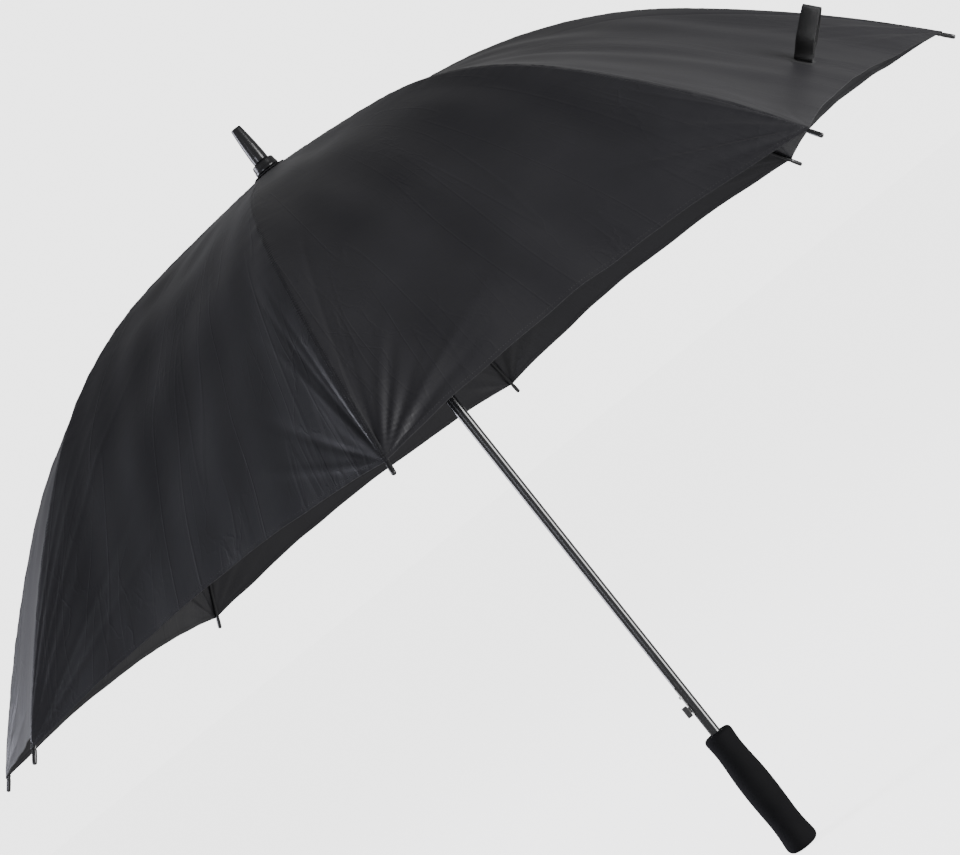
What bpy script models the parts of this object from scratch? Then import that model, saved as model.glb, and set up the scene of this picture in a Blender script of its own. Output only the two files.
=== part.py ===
"""A golf umbrella, open, standing on the end of its grip, +Z along the shaft to the ferrule.

Eight ribs hang on a wire in the crown notch, and eight stretchers on a wire in the runner.
Each rib has an inner and an outer length, so that it can bend in the open umbrella and lie
nearly straight in the closed one. Each gore of the canopy has an upper and a lower half for
the same reason. Everything is in metres, and angles are in degrees where a name says so.
"""

import math

import bmesh
import bpy
from mathutils import Matrix, Vector

# ---------------------------------------------------------------- driving dimensions
RIB_COUNT = 8
RIB_STEP = 2 * math.pi / RIB_COUNT
RIB_LENGTH = 0.762                  # along the bent rib, from its crown wire to its tip
# The bent rib is three arcs: (share of the length where the arc ends, slope there in degrees).
RIB_START_SLOPE = 7.2
RIB_ARCS = ((0.28, 11.0), (0.62, 39.2), (1.0, 49.8))
RIB_RADIUS = 0.0019
CLIP_SHARE = 0.43                   # where the stretcher's clip sits on the rib
BEND_SHARE = 0.4385                 # where a rib's inner length meets its outer length
CLIP_DROP = 0.0060                  # the stretcher's pin lies this far inside the rib

SHAFT_RADIUS = 0.00625
SHAFT_WALL = 0.0008
CROWN_Z = 0.9270                    # the crown wire
TOP_Z = 0.9905                      # the ferrule's end
HINGE_RADIUS = 0.010                # both wires, crown and runner
WIRE_RADIUS = 0.0007
GAP = 0.0003                        # clearance between touching pieces
FIT = 0.0003                        # radial clearance of anything round the shaft

GRIP_TOP = 0.1551
GRIP_FLOOR = 0.012
CORE_RADIUS = 0.0095

CANOPY_THICKNESS = 0.0008
CANOPY_SAG = 0.03                   # how far a gore sags between its ribs, as a share of its width
HEM_SHARE = 0.981                   # where the hem meets the ribs
HEM_SCALLOP = 0.042                 # how much further in the hem is at the middle of a gore

LEVER_AZIMUTH = math.radians(-157.5)
SLIDER_AZIMUTH = math.radians(67.5)
LEVER_TOP_Z = 0.2190
LEVER_BOTTOM_Z = 0.1855
LEVER_WIDTH = 0.0044

STRAP_WIDTH = 0.019
STRAP_HEIGHT = 0.057
STRAP_THICKNESS = 0.0013
STRAP_SHARE = 0.858                 # how far down the canopy the strap is sewn


# ---------------------------------------------------------------- the bent rib
def rib_slope(share):
    """Slope of the rib below the horizontal, in radians, at a share of its length."""
    start_share, start_slope = 0.0, RIB_START_SLOPE
    for end_share, end_slope in RIB_ARCS:
        if share <= end_share:
            break
        start_share, start_slope = end_share, end_slope
    part = (share - start_share) / (end_share - start_share)
    return math.radians(start_slope + (end_slope - start_slope) * part)


def rib_point(share):
    """(radius, height) of the rib's centre line at a share of its length."""
    radius, height = HINGE_RADIUS, CROWN_Z
    start_share, start = 0.0, math.radians(RIB_START_SLOPE)
    for end_share, end_slope in RIB_ARCS:
        stop_share = min(share, end_share)
        stop = rib_slope(stop_share)
        length = (stop_share - start_share) * RIB_LENGTH
        turn = stop - start
        if length > 0:
            radius += length * (math.sin(stop) - math.sin(start)) / turn
            height -= length * (math.cos(start) - math.cos(stop)) / turn
        if share <= end_share:
            break
        start_share, start = end_share, stop
    return radius, height


def clip_pin():
    """(radius, height) of the pin that joins a stretcher to its rib."""
    radius, height = rib_point(CLIP_SHARE)
    slope = rib_slope(CLIP_SHARE)
    return radius - CLIP_DROP * math.sin(slope), height - CLIP_DROP * math.cos(slope)


PIN_RADIUS, PIN_Z = clip_pin()
RUNNER_Z = 2 * PIN_Z - CROWN_Z      # as long as the rib's arm, so the runner's wire hangs here


# ---------------------------------------------------------------- scene and helpers
for old in list(bpy.data.objects):
    bpy.data.objects.remove(old)

PIECES = bpy.data.collections.new("golf_umbrella")
CUTTERS = bpy.data.collections.new("cutters")
bpy.context.scene.collection.children.link(PIECES)
bpy.context.scene.collection.children.link(CUTTERS)


def make_material(name, colour, roughness, metallic):
    made = bpy.data.materials.new(name)
    made.use_nodes = True
    shader = made.node_tree.nodes["Principled BSDF"]
    shader.inputs["Base Color"].default_value = (*colour, 1.0)
    shader.inputs["Roughness"].default_value = roughness
    shader.inputs["Metallic"].default_value = metallic
    return made


FABRIC = make_material("canopy_fabric", (0.028, 0.028, 0.034), 0.75, 0.0)
FOAM = make_material("grip_foam", (0.016, 0.016, 0.017), 0.85, 0.0)
PLASTIC = make_material("black_plastic", (0.012, 0.012, 0.013), 0.25, 0.0)
PAINT = make_material("shaft_paint", (0.014, 0.014, 0.016), 0.22, 0.0)
RIB_FINISH = make_material("rib_fibreglass", (0.020, 0.020, 0.022), 0.35, 0.0)
STEEL = make_material("spring_steel", (0.55, 0.55, 0.56), 0.3, 1.0)
STRETCHER_FINISH = make_material("stretcher_steel", (0.05, 0.05, 0.055), 0.35, 0.8)
WEBBING = make_material("strap_webbing", (0.018, 0.018, 0.019), 0.85, 0.0)


def add_piece(name, mesh, material, location=(0, 0, 0), azimuth=0.0):
    """One piece of the umbrella, turned about its own upright axis by the azimuth."""
    piece = bpy.data.objects.new(name, mesh)
    piece.location = location
    piece.rotation_euler = (0, 0, azimuth)
    PIECES.objects.link(piece)
    if not mesh.materials:
        mesh.materials.append(material)
    return piece


def on_circle(radius, azimuth, height):
    return Vector((radius * math.cos(azimuth), radius * math.sin(azimuth), height))


def smooth(mesh, angle=35):
    mesh.shade_smooth()
    mesh.set_sharp_from_angle(angle=math.radians(angle))


def screw(piece, steps):
    turn = piece.modifiers.new("turn", "SCREW")
    turn.steps = steps
    turn.render_steps = steps
    turn.use_merge_vertices = True
    turn.merge_threshold = 0.00001
    turn.use_smooth_shade = True


def profile_mesh(name, points, closed):
    """A chain of edges in the XZ plane. It runs down its outer side."""
    count = len(points)
    edges = [(i, i + 1) for i in range(count - 1)]
    if closed:
        edges.append((count - 1, 0))
    mesh = bpy.data.meshes.new(name)
    mesh.from_pydata([(r, 0, z) for r, z in points], edges, [])
    return mesh


def turned(name, points, material, closed=True, steps=24, location=(0, 0, 0)):
    """A turned piece. A closed profile is a ring round the shaft, an open one ends on the axis."""
    piece = add_piece(name, profile_mesh(name, points, closed), material, location)
    screw(piece, steps)
    return piece


def sleeve(inner, outer, low, high):
    """The profile of a plain tube, as a closed ring."""
    return [(outer, high), (outer, low), (inner, low), (inner, high)]


def mesh_from(name, build):
    """A mesh that a bmesh function fills."""
    shape = bmesh.new()
    build(shape)
    bmesh.ops.recalc_face_normals(shape, faces=shape.faces)
    mesh = bpy.data.meshes.new(name)
    shape.to_mesh(mesh)
    shape.free()
    return mesh


def block_mesh(name, low, high):
    """A box between two corners."""
    low, high = Vector(low), Vector(high)

    def build(shape):
        place = Matrix.Translation((low + high) / 2) @ Matrix.Diagonal((*(high - low), 1))
        bmesh.ops.create_cube(shape, size=1.0, matrix=place)

    return mesh_from(name, build)


def disc_mesh(name, centre, radius, thickness, sides=10):
    """A short cylinder whose axis is Y, the direction of every rib and stretcher hinge."""

    def build(shape):
        place = Matrix.Translation(centre) @ Matrix.Rotation(math.pi / 2, 4, "X")
        bmesh.ops.create_cone(shape, cap_ends=True, segments=sides, radius1=radius,
                              radius2=radius, depth=thickness, matrix=place)

    return mesh_from(name, build)


def rod_mesh(name, points, radius, resolution=2):
    """A round rod along a chain of points, as a closed mesh."""
    line = bpy.data.curves.new(name, "CURVE")
    line.dimensions = "3D"
    line.bevel_depth = radius
    line.bevel_resolution = resolution
    line.use_fill_caps = True
    spline = line.splines.new("POLY")
    spline.points.add(len(points) - 1)
    for spot, point in zip(spline.points, points):
        spot.co = (*point, 1)
    holder = bpy.data.objects.new(name, line)
    CUTTERS.objects.link(holder)
    graph = bpy.context.evaluated_depsgraph_get()
    mesh = bpy.data.meshes.new_from_object(holder.evaluated_get(graph))
    bpy.data.objects.remove(holder)
    shape = bmesh.new()
    shape.from_mesh(mesh)
    bmesh.ops.remove_doubles(shape, verts=shape.verts, dist=0.00001)
    shape.to_mesh(mesh)
    shape.free()
    return mesh


def combined(name, solids, holes=()):
    """One mesh: the union of the solids, less the holes."""
    base = bpy.data.objects.new(name, solids[0])
    CUTTERS.objects.link(base)
    tools = []
    for mesh, operation in [(m, "UNION") for m in solids[1:]] + [(m, "DIFFERENCE") for m in holes]:
        tool = bpy.data.objects.new(f"{name}_tool", mesh)
        CUTTERS.objects.link(tool)
        tools.append(tool)
        step = base.modifiers.new(operation.lower(), "BOOLEAN")
        step.operation = operation
        step.solver = "EXACT"
        step.object = tool
    graph = bpy.context.evaluated_depsgraph_get()
    mesh = bpy.data.meshes.new_from_object(base.evaluated_get(graph))
    mesh.name = name
    mesh.materials.clear()
    for item in [base, *tools]:
        bpy.data.objects.remove(item)
    smooth(mesh)
    return mesh


def cut(piece, mesh, location=(0, 0, 0), azimuth=0.0):
    """Takes a cutter's shape out of a piece, with a Boolean that stays on the piece."""
    cutter = bpy.data.objects.new(f"{piece.name}_cutter", mesh)
    cutter.location = location
    cutter.rotation_euler = (0, 0, azimuth)
    cutter.hide_render = True
    cutter.display_type = "WIRE"
    CUTTERS.objects.link(cutter)
    step = piece.modifiers.new("cut", "BOOLEAN")
    step.operation = "DIFFERENCE"
    step.solver = "EXACT"
    step.object = cutter


# ---------------------------------------------------------------- shaft, ferrule and collar
SHAFT_BOTTOM = GRIP_FLOOR + 0.002
SHAFT_TOP = TOP_Z - 0.012
SHAFT_BORE = SHAFT_RADIUS - SHAFT_WALL
AROUND_SHAFT = SHAFT_RADIUS + FIT
SLIDER_DROP = 0.020                 # the slider's pin is this far below the runner's wire
SLIDER_Z = RUNNER_Z - SLIDER_DROP
SLOT_LOW = 0.236
SLOT_WIDTH = 0.0032
LEVER_SLOT_WIDTH = 0.0052


def make_shaft():
    shaft = turned("shaft", sleeve(SHAFT_BORE, SHAFT_RADIUS, SHAFT_BOTTOM, SHAFT_TOP), PAINT)
    reach = SHAFT_RADIUS + 0.002
    slider_slot = block_mesh("slider_slot", (0.003, -SLOT_WIDTH / 2, SLOT_LOW),
                             (reach, SLOT_WIDTH / 2, SLIDER_Z + 0.006))
    lever_slot = block_mesh("lever_slot", (0.003, -LEVER_SLOT_WIDTH / 2, LEVER_BOTTOM_Z - 0.002),
                            (reach, LEVER_SLOT_WIDTH / 2, LEVER_TOP_Z + 0.002))
    cut(shaft, slider_slot, azimuth=SLIDER_AZIMUTH)
    cut(shaft, lever_slot, azimuth=LEVER_AZIMUTH)


FERRULE_LENGTH = 0.0457
FERRULE_RADIUS = 0.0091
FERRULE_TIP_RADIUS = 0.0060
FERRULE_Z = TOP_Z - FERRULE_LENGTH
ROSETTE_Z = CROWN_Z + 0.0051
ROSETTE_THICKNESS = 0.0012
COLLAR_Z = ROSETTE_Z + ROSETTE_THICKNESS + GAP


def make_top():
    round_off = 0.0012
    turned("ferrule", [
        (0, TOP_Z), (FERRULE_TIP_RADIUS - round_off, TOP_Z),
        (FERRULE_TIP_RADIUS - 0.3 * round_off, TOP_Z - 0.3 * round_off),
        (FERRULE_TIP_RADIUS, TOP_Z - round_off),
        (0.0073, TOP_Z - 0.012), (0.0083, TOP_Z - 0.024), (FERRULE_RADIUS, TOP_Z - 0.038),
        (FERRULE_RADIUS, FERRULE_Z), (AROUND_SHAFT, FERRULE_Z),
        (AROUND_SHAFT, SHAFT_TOP + GAP), (0, SHAFT_TOP + GAP)], PLASTIC, closed=False)
    collar_top = FERRULE_Z - GAP
    turned("ferrule_collar", [
        (0.0122, collar_top), (0.0131, collar_top - 0.001), (0.0143, COLLAR_Z + 0.0016),
        (0.0139, COLLAR_Z), (AROUND_SHAFT, COLLAR_Z), (AROUND_SHAFT, collar_top)], PLASTIC)
    turned("rosette", [
        (0.0190, ROSETTE_Z + ROSETTE_THICKNESS), (0.0199, ROSETTE_Z + ROSETTE_THICKNESS / 2),
        (0.0190, ROSETTE_Z), (AROUND_SHAFT, ROSETTE_Z),
        (AROUND_SHAFT, ROSETTE_Z + ROSETTE_THICKNESS)], FABRIC)


# ---------------------------------------------------------------- crown notch and runner
FLANGE_RADIUS = 0.0125
FLANGE_HALF = 0.0025
GROOVE_HALF = WIRE_RADIUS + GAP
SLOT_FLOOR = 0.0071
EYE_THICKNESS = 0.0018
NOTCH_BOSS = 0.0078
RUNNER_SLEEVE = 0.0082
RUNNER_LENGTH = 0.048


def wire_flange():
    """The outer side of a flange with a groove for the hinge wire, about height 0, going down."""
    floor = HINGE_RADIUS - GROOVE_HALF
    return [(FLANGE_RADIUS - 0.0006, FLANGE_HALF), (FLANGE_RADIUS, FLANGE_HALF - 0.0006),
            (FLANGE_RADIUS, GROOVE_HALF), (floor, GROOVE_HALF), (floor, -GROOVE_HALF),
            (FLANGE_RADIUS, -GROOVE_HALF), (FLANGE_RADIUS, 0.0006 - FLANGE_HALF),
            (FLANGE_RADIUS - 0.0006, -FLANGE_HALF)]


def cut_rib_slots(piece, name):
    """Eight radial slots through a flange, one for each eye."""
    half = EYE_THICKNESS / 2 + GAP
    for k in range(RIB_COUNT):
        mesh = block_mesh(f"{name}_slot", (SLOT_FLOOR, -half, -0.004), (0.015, half, 0.004))
        cut(piece, mesh, location=piece.location, azimuth=-k * RIB_STEP)


def make_wire(name, height):
    bpy.ops.mesh.primitive_torus_add(major_radius=HINGE_RADIUS, minor_radius=WIRE_RADIUS,
                                     major_segments=24, minor_segments=6)
    ring = bpy.context.object
    mesh = ring.data
    bpy.data.objects.remove(ring)
    mesh.name = name
    add_piece(name, mesh, STEEL, (0, 0, height))


def make_crown():
    boss_bottom = -0.013
    notch = turned("crown_notch", [
        *wire_flange(), (NOTCH_BOSS, -FLANGE_HALF), (NOTCH_BOSS - 0.0004, boss_bottom),
        (AROUND_SHAFT, boss_bottom), (AROUND_SHAFT, FLANGE_HALF)], PLASTIC,
        location=(0, 0, CROWN_Z))
    cut_rib_slots(notch, "crown")
    make_wire("crown_wire", CROWN_Z)


def make_runner():
    bottom = -RUNNER_LENGTH
    runner = turned("runner", [
        (NOTCH_BOSS, 0.008), (NOTCH_BOSS, FLANGE_HALF), *wire_flange(),
        (RUNNER_SLEEVE + 0.0004, -FLANGE_HALF - 0.002), (RUNNER_SLEEVE, -0.012),
        (RUNNER_SLEEVE, bottom + 0.010), (0.0104, bottom + 0.006), (0.0108, bottom + 0.001),
        (0.0100, bottom), (AROUND_SHAFT, bottom), (AROUND_SHAFT, 0.008)], PLASTIC,
        location=(0, 0, RUNNER_Z))
    cut_rib_slots(runner, "runner")
    pin_hole = block_mesh("pin_hole", (0.004, -0.0016, -SLIDER_DROP - 0.0016),
                          (0.012, 0.0016, -SLIDER_DROP + 0.0016))
    cut(runner, pin_hole, location=runner.location, azimuth=SLIDER_AZIMUTH)
    make_wire("runner_wire", RUNNER_Z)
    stop_z = RUNNER_Z + 0.008 + GAP
    turned("runner_stop", [
        (0.0088, stop_z + 0.008), (0.0092, stop_z + 0.007), (0.0092, stop_z + 0.001),
        (0.0088, stop_z), (AROUND_SHAFT, stop_z), (AROUND_SHAFT, stop_z + 0.008)], PLASTIC)


# ---------------------------------------------------------------- opening spring, inside the shaft
SLIDER_RADIUS = SHAFT_BORE - 0.0004
SLIDER_HALF = 0.006
SEAT_TOP = 0.042
SPRING_RADIUS = 0.0032
SPRING_WIRE = 0.0005
SPRING_TURNS = 12
POINTS_PER_TURN = 7


def make_spring():
    bottom = SEAT_TOP + SPRING_WIRE + GAP
    top = SLIDER_Z - SLIDER_HALF - SPRING_WIRE - GAP
    count = SPRING_TURNS * POINTS_PER_TURN
    points = []
    for i in range(count + 1):
        angle = 2 * math.pi * i / POINTS_PER_TURN
        points.append(on_circle(SPRING_RADIUS, angle, bottom + (top - bottom) * i / count))
    add_piece("opening_spring", rod_mesh("opening_spring", points, SPRING_WIRE, 1), STEEL)
    turned("spring_seat", [
        (0, SEAT_TOP), (SLIDER_RADIUS, SEAT_TOP), (SLIDER_RADIUS, SEAT_TOP - 0.012),
        (0, SEAT_TOP - 0.012)], PLASTIC, closed=False, steps=24)


def make_slider():
    """The plug that the spring pushes, with the pin that carries the runner through the slot."""

    def plug(shape):
        bmesh.ops.create_cone(shape, cap_ends=True, segments=24, radius1=SLIDER_RADIUS,
                              radius2=SLIDER_RADIUS, depth=2 * SLIDER_HALF)

    def pin(shape):
        place = Matrix.Translation((0.004, 0, 0)) @ Matrix.Rotation(math.pi / 2, 4, "Y")
        bmesh.ops.create_cone(shape, cap_ends=True, segments=12, radius1=0.0012,
                              radius2=0.0012, depth=0.008, matrix=place)

    mesh = combined("spring_slider", [mesh_from("plug", plug), mesh_from("pin", pin)])
    add_piece("spring_slider", mesh, STEEL, (0, 0, SLIDER_Z), SLIDER_AZIMUTH)


# ---------------------------------------------------------------- release lever and button
LEVER_INNER = 0.0054
LEVER_THICKNESS = 0.0006
BUTTON_LENGTH = 0.0130
BUTTON_INNER = 0.0079
BUTTON_OUTER = 0.0134


def make_release():
    """A sprung strip in a slot of the shaft, with the button on its lower end.

    Both pieces turn about the strip's top end, where their parent empty is.
    """
    pivot = bpy.data.objects.new("release_pivot", None)
    pivot.location = on_circle(LEVER_INNER, LEVER_AZIMUTH, LEVER_TOP_Z)
    pivot.rotation_euler = (0, 0, LEVER_AZIMUTH)
    PIECES.objects.link(pivot)
    half = LEVER_WIDTH / 2
    length = LEVER_TOP_Z - LEVER_BOTTOM_Z
    strip = block_mesh("strip", (0, -half, -length), (LEVER_THICKNESS, half, 0))
    catch_z = -0.009
    catch = block_mesh("catch", (0.0002, -half, catch_z - 0.003), (0.0026, half, catch_z))
    lever = add_piece("release_lever", combined("release_lever", [strip, catch]), STEEL)
    lever.parent = pivot
    inner = BUTTON_INNER - LEVER_INNER
    outer = BUTTON_OUTER - LEVER_INNER
    stem = block_mesh("stem", (LEVER_THICKNESS + GAP, -half + 0.0006, -length + 0.003),
                      (inner + 0.001, half - 0.0006, -length + 0.010))
    body = block_mesh("body", (inner, -half, -length), (outer, half, -length + BUTTON_LENGTH))
    button = add_piece("release_button", combined("release_button", [body, stem]), PLASTIC)
    button.parent = pivot
    edge = button.modifiers.new("edge", "BEVEL")
    edge.width = 0.0005
    edge.segments = 2
    edge.limit_method = "ANGLE"


# ---------------------------------------------------------------- handle
def make_handle():
    core_bottom = GRIP_FLOOR + 2 * GAP
    core = sleeve(AROUND_SHAFT, CORE_RADIUS, core_bottom, GRIP_TOP - 0.001)
    turned("handle_core", core, PLASTIC)
    # (height, radius) down the outside: domed top, slim neck, full palm swell, domed end
    outline = [(GRIP_TOP, 0.0118), (GRIP_TOP - 0.0007, 0.0150), (GRIP_TOP - 0.0028, 0.0172),
               (0.1420, 0.0167), (0.1310, 0.0162), (0.1150, 0.0170), (0.0985, 0.0181),
               (0.0820, 0.0185), (0.0655, 0.0183), (0.0490, 0.0177), (0.0350, 0.0173),
               (0.0230, 0.0178), (0.0130, 0.0188), (0.0070, 0.0191), (0.0030, 0.0178),
               (0.0008, 0.0150), (0.0, 0.0115)]
    bore = CORE_RADIUS + GAP
    profile = [(bore, GRIP_TOP), *[(r, z) for z, r in outline], (0, 0), (0, GRIP_FLOOR),
               (bore, GRIP_FLOOR)]
    # The two points on the axis have to be the chain's ends, so it starts at the floor of the bore.
    start = profile.index((0, GRIP_FLOOR))
    chain = profile[start:] + profile[:start]
    turned("handle_grip", chain, FOAM, closed=False)


# ---------------------------------------------------------------- ribs and stretchers
EYE_RADIUS = 0.0026
EYE_HOLE = WIRE_RADIUS + GAP
ROD_START = 0.0056                  # the rod begins this far from its wire, clear of the flange
CHEEK_THICKNESS = 0.0008
CHEEK_INNER = 0.0013
PIN_WIRE = 0.0008
STRETCHER_RADIUS = 0.0015
BEND_GAP = 0.0013                   # clearance between a rib's two lengths, which turn 28 degrees
CLIP_HALF = 0.0020
CLIP_REACH = 0.0052                 # half the clip's length, as a share of the rib
TIP_RADIUS = 0.0026
TIP_LENGTH = 0.020


def rib_local(share, origin):
    """A point of the rib's centre line in its own plane, counted from an origin in that plane."""
    radius, height = rib_point(share)
    return Vector((radius - origin[0], 0, height - origin[1]))


def spread(low, high, count):
    return [low + (high - low) * i / (count - 1) for i in range(count)]


def bar_mesh(name, start, end, half_height, half_width):
    """A flat bar from one point to another in the rib's plane."""
    along = end - start
    turn = math.atan2(-along.z, along.x)

    def build(shape):
        place = (Matrix.Translation((start + end) / 2) @ Matrix.Rotation(turn, 4, "Y")
                 @ Matrix.Diagonal((along.length, 2 * half_width, 2 * half_height, 1)))
        bmesh.ops.create_cube(shape, size=1.0, matrix=place)

    return mesh_from(name, build)


def rib_inner_mesh():
    """Eye on the crown wire, fibreglass rod, and the clip that carries the stretcher's pin."""
    crown = (HINGE_RADIUS, CROWN_Z)
    shares = spread(ROD_START / RIB_LENGTH, BEND_SHARE - BEND_GAP / RIB_LENGTH, 8)
    rod = rod_mesh("rod", [rib_local(s, crown) for s in shares], RIB_RADIUS)
    zero = Vector((0, 0, 0))
    half = 0.47 * EYE_THICKNESS     # a little under half, so that no two faces lie in one plane
    eye = disc_mesh("eye", zero, EYE_RADIUS, EYE_THICKNESS)
    neck = bar_mesh("neck", zero, rib_local(0.0095 / RIB_LENGTH, crown), 0.0014, half)
    pin = Vector((PIN_RADIUS - HINGE_RADIUS, 0, PIN_Z - CROWN_Z))
    lug = bar_mesh("lug", pin, rib_local(CLIP_SHARE, crown), 0.0022, half)
    boss = disc_mesh("boss", pin, 0.0026, EYE_THICKNESS)
    clip = bar_mesh("clip", rib_local(CLIP_SHARE - CLIP_REACH, crown),
                    rib_local(CLIP_SHARE + CLIP_REACH, crown), CLIP_HALF, CLIP_HALF)
    holes = [disc_mesh("wire_hole", zero, EYE_HOLE, 0.01),
             disc_mesh("pin_hole", pin, PIN_WIRE + GAP, 0.01)]
    return combined("rib_inner", [rod, eye, neck, clip, lug, boss], holes)


def rib_outer_mesh():
    """The rod past the clip, with the turned tip that holds the corner of two gores."""
    bend = rib_point(BEND_SHARE)
    shares = spread(BEND_SHARE + BEND_GAP / RIB_LENGTH, 1 - 0.3 * TIP_LENGTH / RIB_LENGTH, 9)
    rod = rod_mesh("rod", [rib_local(s, bend) for s in shares], RIB_RADIUS)
    end = rib_local(1 - TIP_RADIUS / RIB_LENGTH, bend)
    collar = rib_local(1 - 0.7 * TIP_LENGTH / RIB_LENGTH, bend)
    tip = rod_mesh("tip", [collar, end], TIP_RADIUS)
    return combined("rib_outer", [rod, tip])


def stretcher_mesh():
    """A steel bar from the clip's pin, at the origin, to the eye on the runner's wire."""
    foot = Vector((HINGE_RADIUS - PIN_RADIUS, 0, RUNNER_Z - PIN_Z))
    along = foot.normalized()
    zero = Vector((0, 0, 0))
    outer = CHEEK_INNER + CHEEK_THICKNESS
    middle = CHEEK_INNER + CHEEK_THICKNESS / 2
    parts = [disc_mesh("pin", zero, PIN_WIRE, 2 * outer)]
    for side in (-1, 1):
        lift = Vector((0, side * middle, 0))
        parts.append(disc_mesh("cheek", lift, 0.0026, CHEEK_THICKNESS))
        parts.append(bar_mesh("cheek_bar", lift, lift + 0.0060 * along, 0.0018,
                              0.46 * CHEEK_THICKNESS))
    parts.append(bar_mesh("bridge", 0.0040 * along, 0.0080 * along, 0.0018, outer - 0.0001))
    parts.append(rod_mesh("bar", [0.0070 * along, foot - 0.0056 * along], STRETCHER_RADIUS))
    parts.append(bar_mesh("neck", foot - 0.0090 * along, foot, 0.0013, 0.47 * EYE_THICKNESS))
    parts.append(disc_mesh("eye", foot, EYE_RADIUS, EYE_THICKNESS))
    return combined("stretcher", parts, [disc_mesh("wire_hole", foot, EYE_HOLE, 0.01)])


def make_frame():
    inner, outer, stretcher = rib_inner_mesh(), rib_outer_mesh(), stretcher_mesh()
    bend_radius, bend_z = rib_point(BEND_SHARE)
    for k in range(RIB_COUNT):
        azimuth = -k * RIB_STEP
        add_piece(f"rib_inner_{k + 1}", inner, RIB_FINISH,
                  on_circle(HINGE_RADIUS, azimuth, CROWN_Z), azimuth)
        add_piece(f"rib_outer_{k + 1}", outer, RIB_FINISH,
                  on_circle(bend_radius, azimuth, bend_z), azimuth)
        add_piece(f"stretcher_{k + 1}", stretcher, STRETCHER_FINISH,
                  on_circle(PIN_RADIUS, azimuth, PIN_Z), azimuth)


# ---------------------------------------------------------------- canopy
HUB_RADIUS = 0.0078                 # the hole in the fabric, round the shaft
HUB_LIFT = 0.0040                   # the fabric's underside above the crown wire, at the hub
RIB_LIFT = RIB_RADIUS + 0.0016      # and above a rib's centre line, further out
SEAM_GAP = 0.0002                   # each gore stops this far short of the seam


def canopy_profile(share):
    """(radius, height, slope) of the fabric's underside along a rib."""
    slope = rib_slope(max(share, 0.0))
    radius, height = rib_point(max(share, 0.0))
    settle = min(max(share, 0.0) / 0.05, 1.0)
    lift = HUB_LIFT + (RIB_LIFT - HUB_LIFT) * settle
    return radius + lift * math.sin(slope) * settle, height + lift * math.cos(slope), slope


def gore_point(share, across):
    """A point of the gore that is centred on +X, across running from -1 to 1 between its ribs."""
    half = RIB_STEP / 2
    if share <= 0:
        radius, height, slope = HUB_RADIUS, CROWN_Z + HUB_LIFT, 0.0
    else:
        radius, height, slope = canopy_profile(share)
    side = max(radius * math.sin(half) - SEAM_GAP, 0)
    sag = CANOPY_SAG * 2 * side * (1 - across * across)
    return Vector((radius * math.cos(half) - sag * math.sin(slope), side * across,
                   height - sag * math.cos(slope)))


def hem_share(across):
    return HEM_SHARE - HEM_SCALLOP * (1 - across * across)


def gore_mesh(name, rows, columns, start, stop, origin):
    """A grid of the gore between two shares of its length. Each share is a function of across."""
    across = spread(-1, 1, columns + 1)
    points = []
    for i in range(rows + 1):
        for a in across:
            low, high = start(a), stop(a)
            points.append(gore_point(low + (high - low) * i / rows, a) - origin)
    wide = columns + 1
    faces = [(i * wide + j, (i + 1) * wide + j, (i + 1) * wide + j + 1, i * wide + j + 1)
             for i in range(rows) for j in range(columns)]
    mesh = bpy.data.meshes.new(name)
    mesh.from_pydata(points, [], faces)
    smooth(mesh, 60)
    return mesh


def gore_hinge():
    """Where a gore's upper half turns as the umbrella folds, in the gore's own plane."""
    return Vector((0.011, 0, CROWN_Z + HUB_LIFT))


def gore_bend():
    """Where a gore's lower half turns on its upper half, in the gore's own plane."""
    return gore_point(BEND_SHARE, 0)


def make_canopy():
    hinge, bend = gore_hinge(), gore_bend()
    gap = GAP / 2 / RIB_LENGTH
    upper = gore_mesh("canopy_upper", 7, 6, lambda a: 0.0, lambda a: BEND_SHARE - gap, hinge)
    lower = gore_mesh("canopy_lower", 7, 8, lambda a: BEND_SHARE + gap, hem_share, bend)
    for k in range(RIB_COUNT):
        azimuth = -(k + 0.5) * RIB_STEP
        for name, mesh, origin in (("upper", upper, hinge), ("lower", lower, bend)):
            piece = add_piece(f"canopy_{name}_{k + 1}", mesh, FABRIC,
                              on_circle(origin.x, azimuth, origin.z), azimuth)
            shell = piece.modifiers.new("cloth", "SOLIDIFY")
            shell.thickness = CANOPY_THICKNESS
            shell.offset = 1.0


# ---------------------------------------------------------------- closure strap
STRAP_ACROSS = 0.18                 # towards the first rib from the middle of its gore
LOOP_HALF = 0.0036                  # half the space inside the closed loop
LOOP_POINTS = 6
PATCH_THICKNESS = 0.0004
PATCH_LIFT = CANOPY_THICKNESS + 0.0006


def strap_place():
    """Where the strap is sewn, and its outward, downhill and sideways directions."""
    step = 0.02
    spot = gore_point(STRAP_SHARE, STRAP_ACROSS)
    downhill = (gore_point(STRAP_SHARE + step, STRAP_ACROSS) - spot).normalized()
    sideways = (gore_point(STRAP_SHARE, STRAP_ACROSS + step) - spot).normalized()
    outward = downhill.cross(sideways).normalized()
    turn = Matrix.Rotation(-0.5 * RIB_STEP, 3, "Z")
    return turn @ spot, turn @ outward, turn @ downhill, turn @ outward.cross(downhill)


def loop_outline(inset):
    """The loop's outline, sideways and outward, drawn in from its outer face by an inset."""
    half = LOOP_HALF + STRAP_THICKNESS - inset
    top = STRAP_HEIGHT - LOOP_HALF - STRAP_THICKNESS
    base = LOOP_HALF + STRAP_THICKNESS
    points = []
    for centre, start in ((top, 0.0), (base, math.pi)):
        for i in range(LOOP_POINTS + 1):
            angle = start + math.pi * i / LOOP_POINTS
            points.append((half * math.cos(angle), centre + half * math.sin(angle)))
    return points


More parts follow.
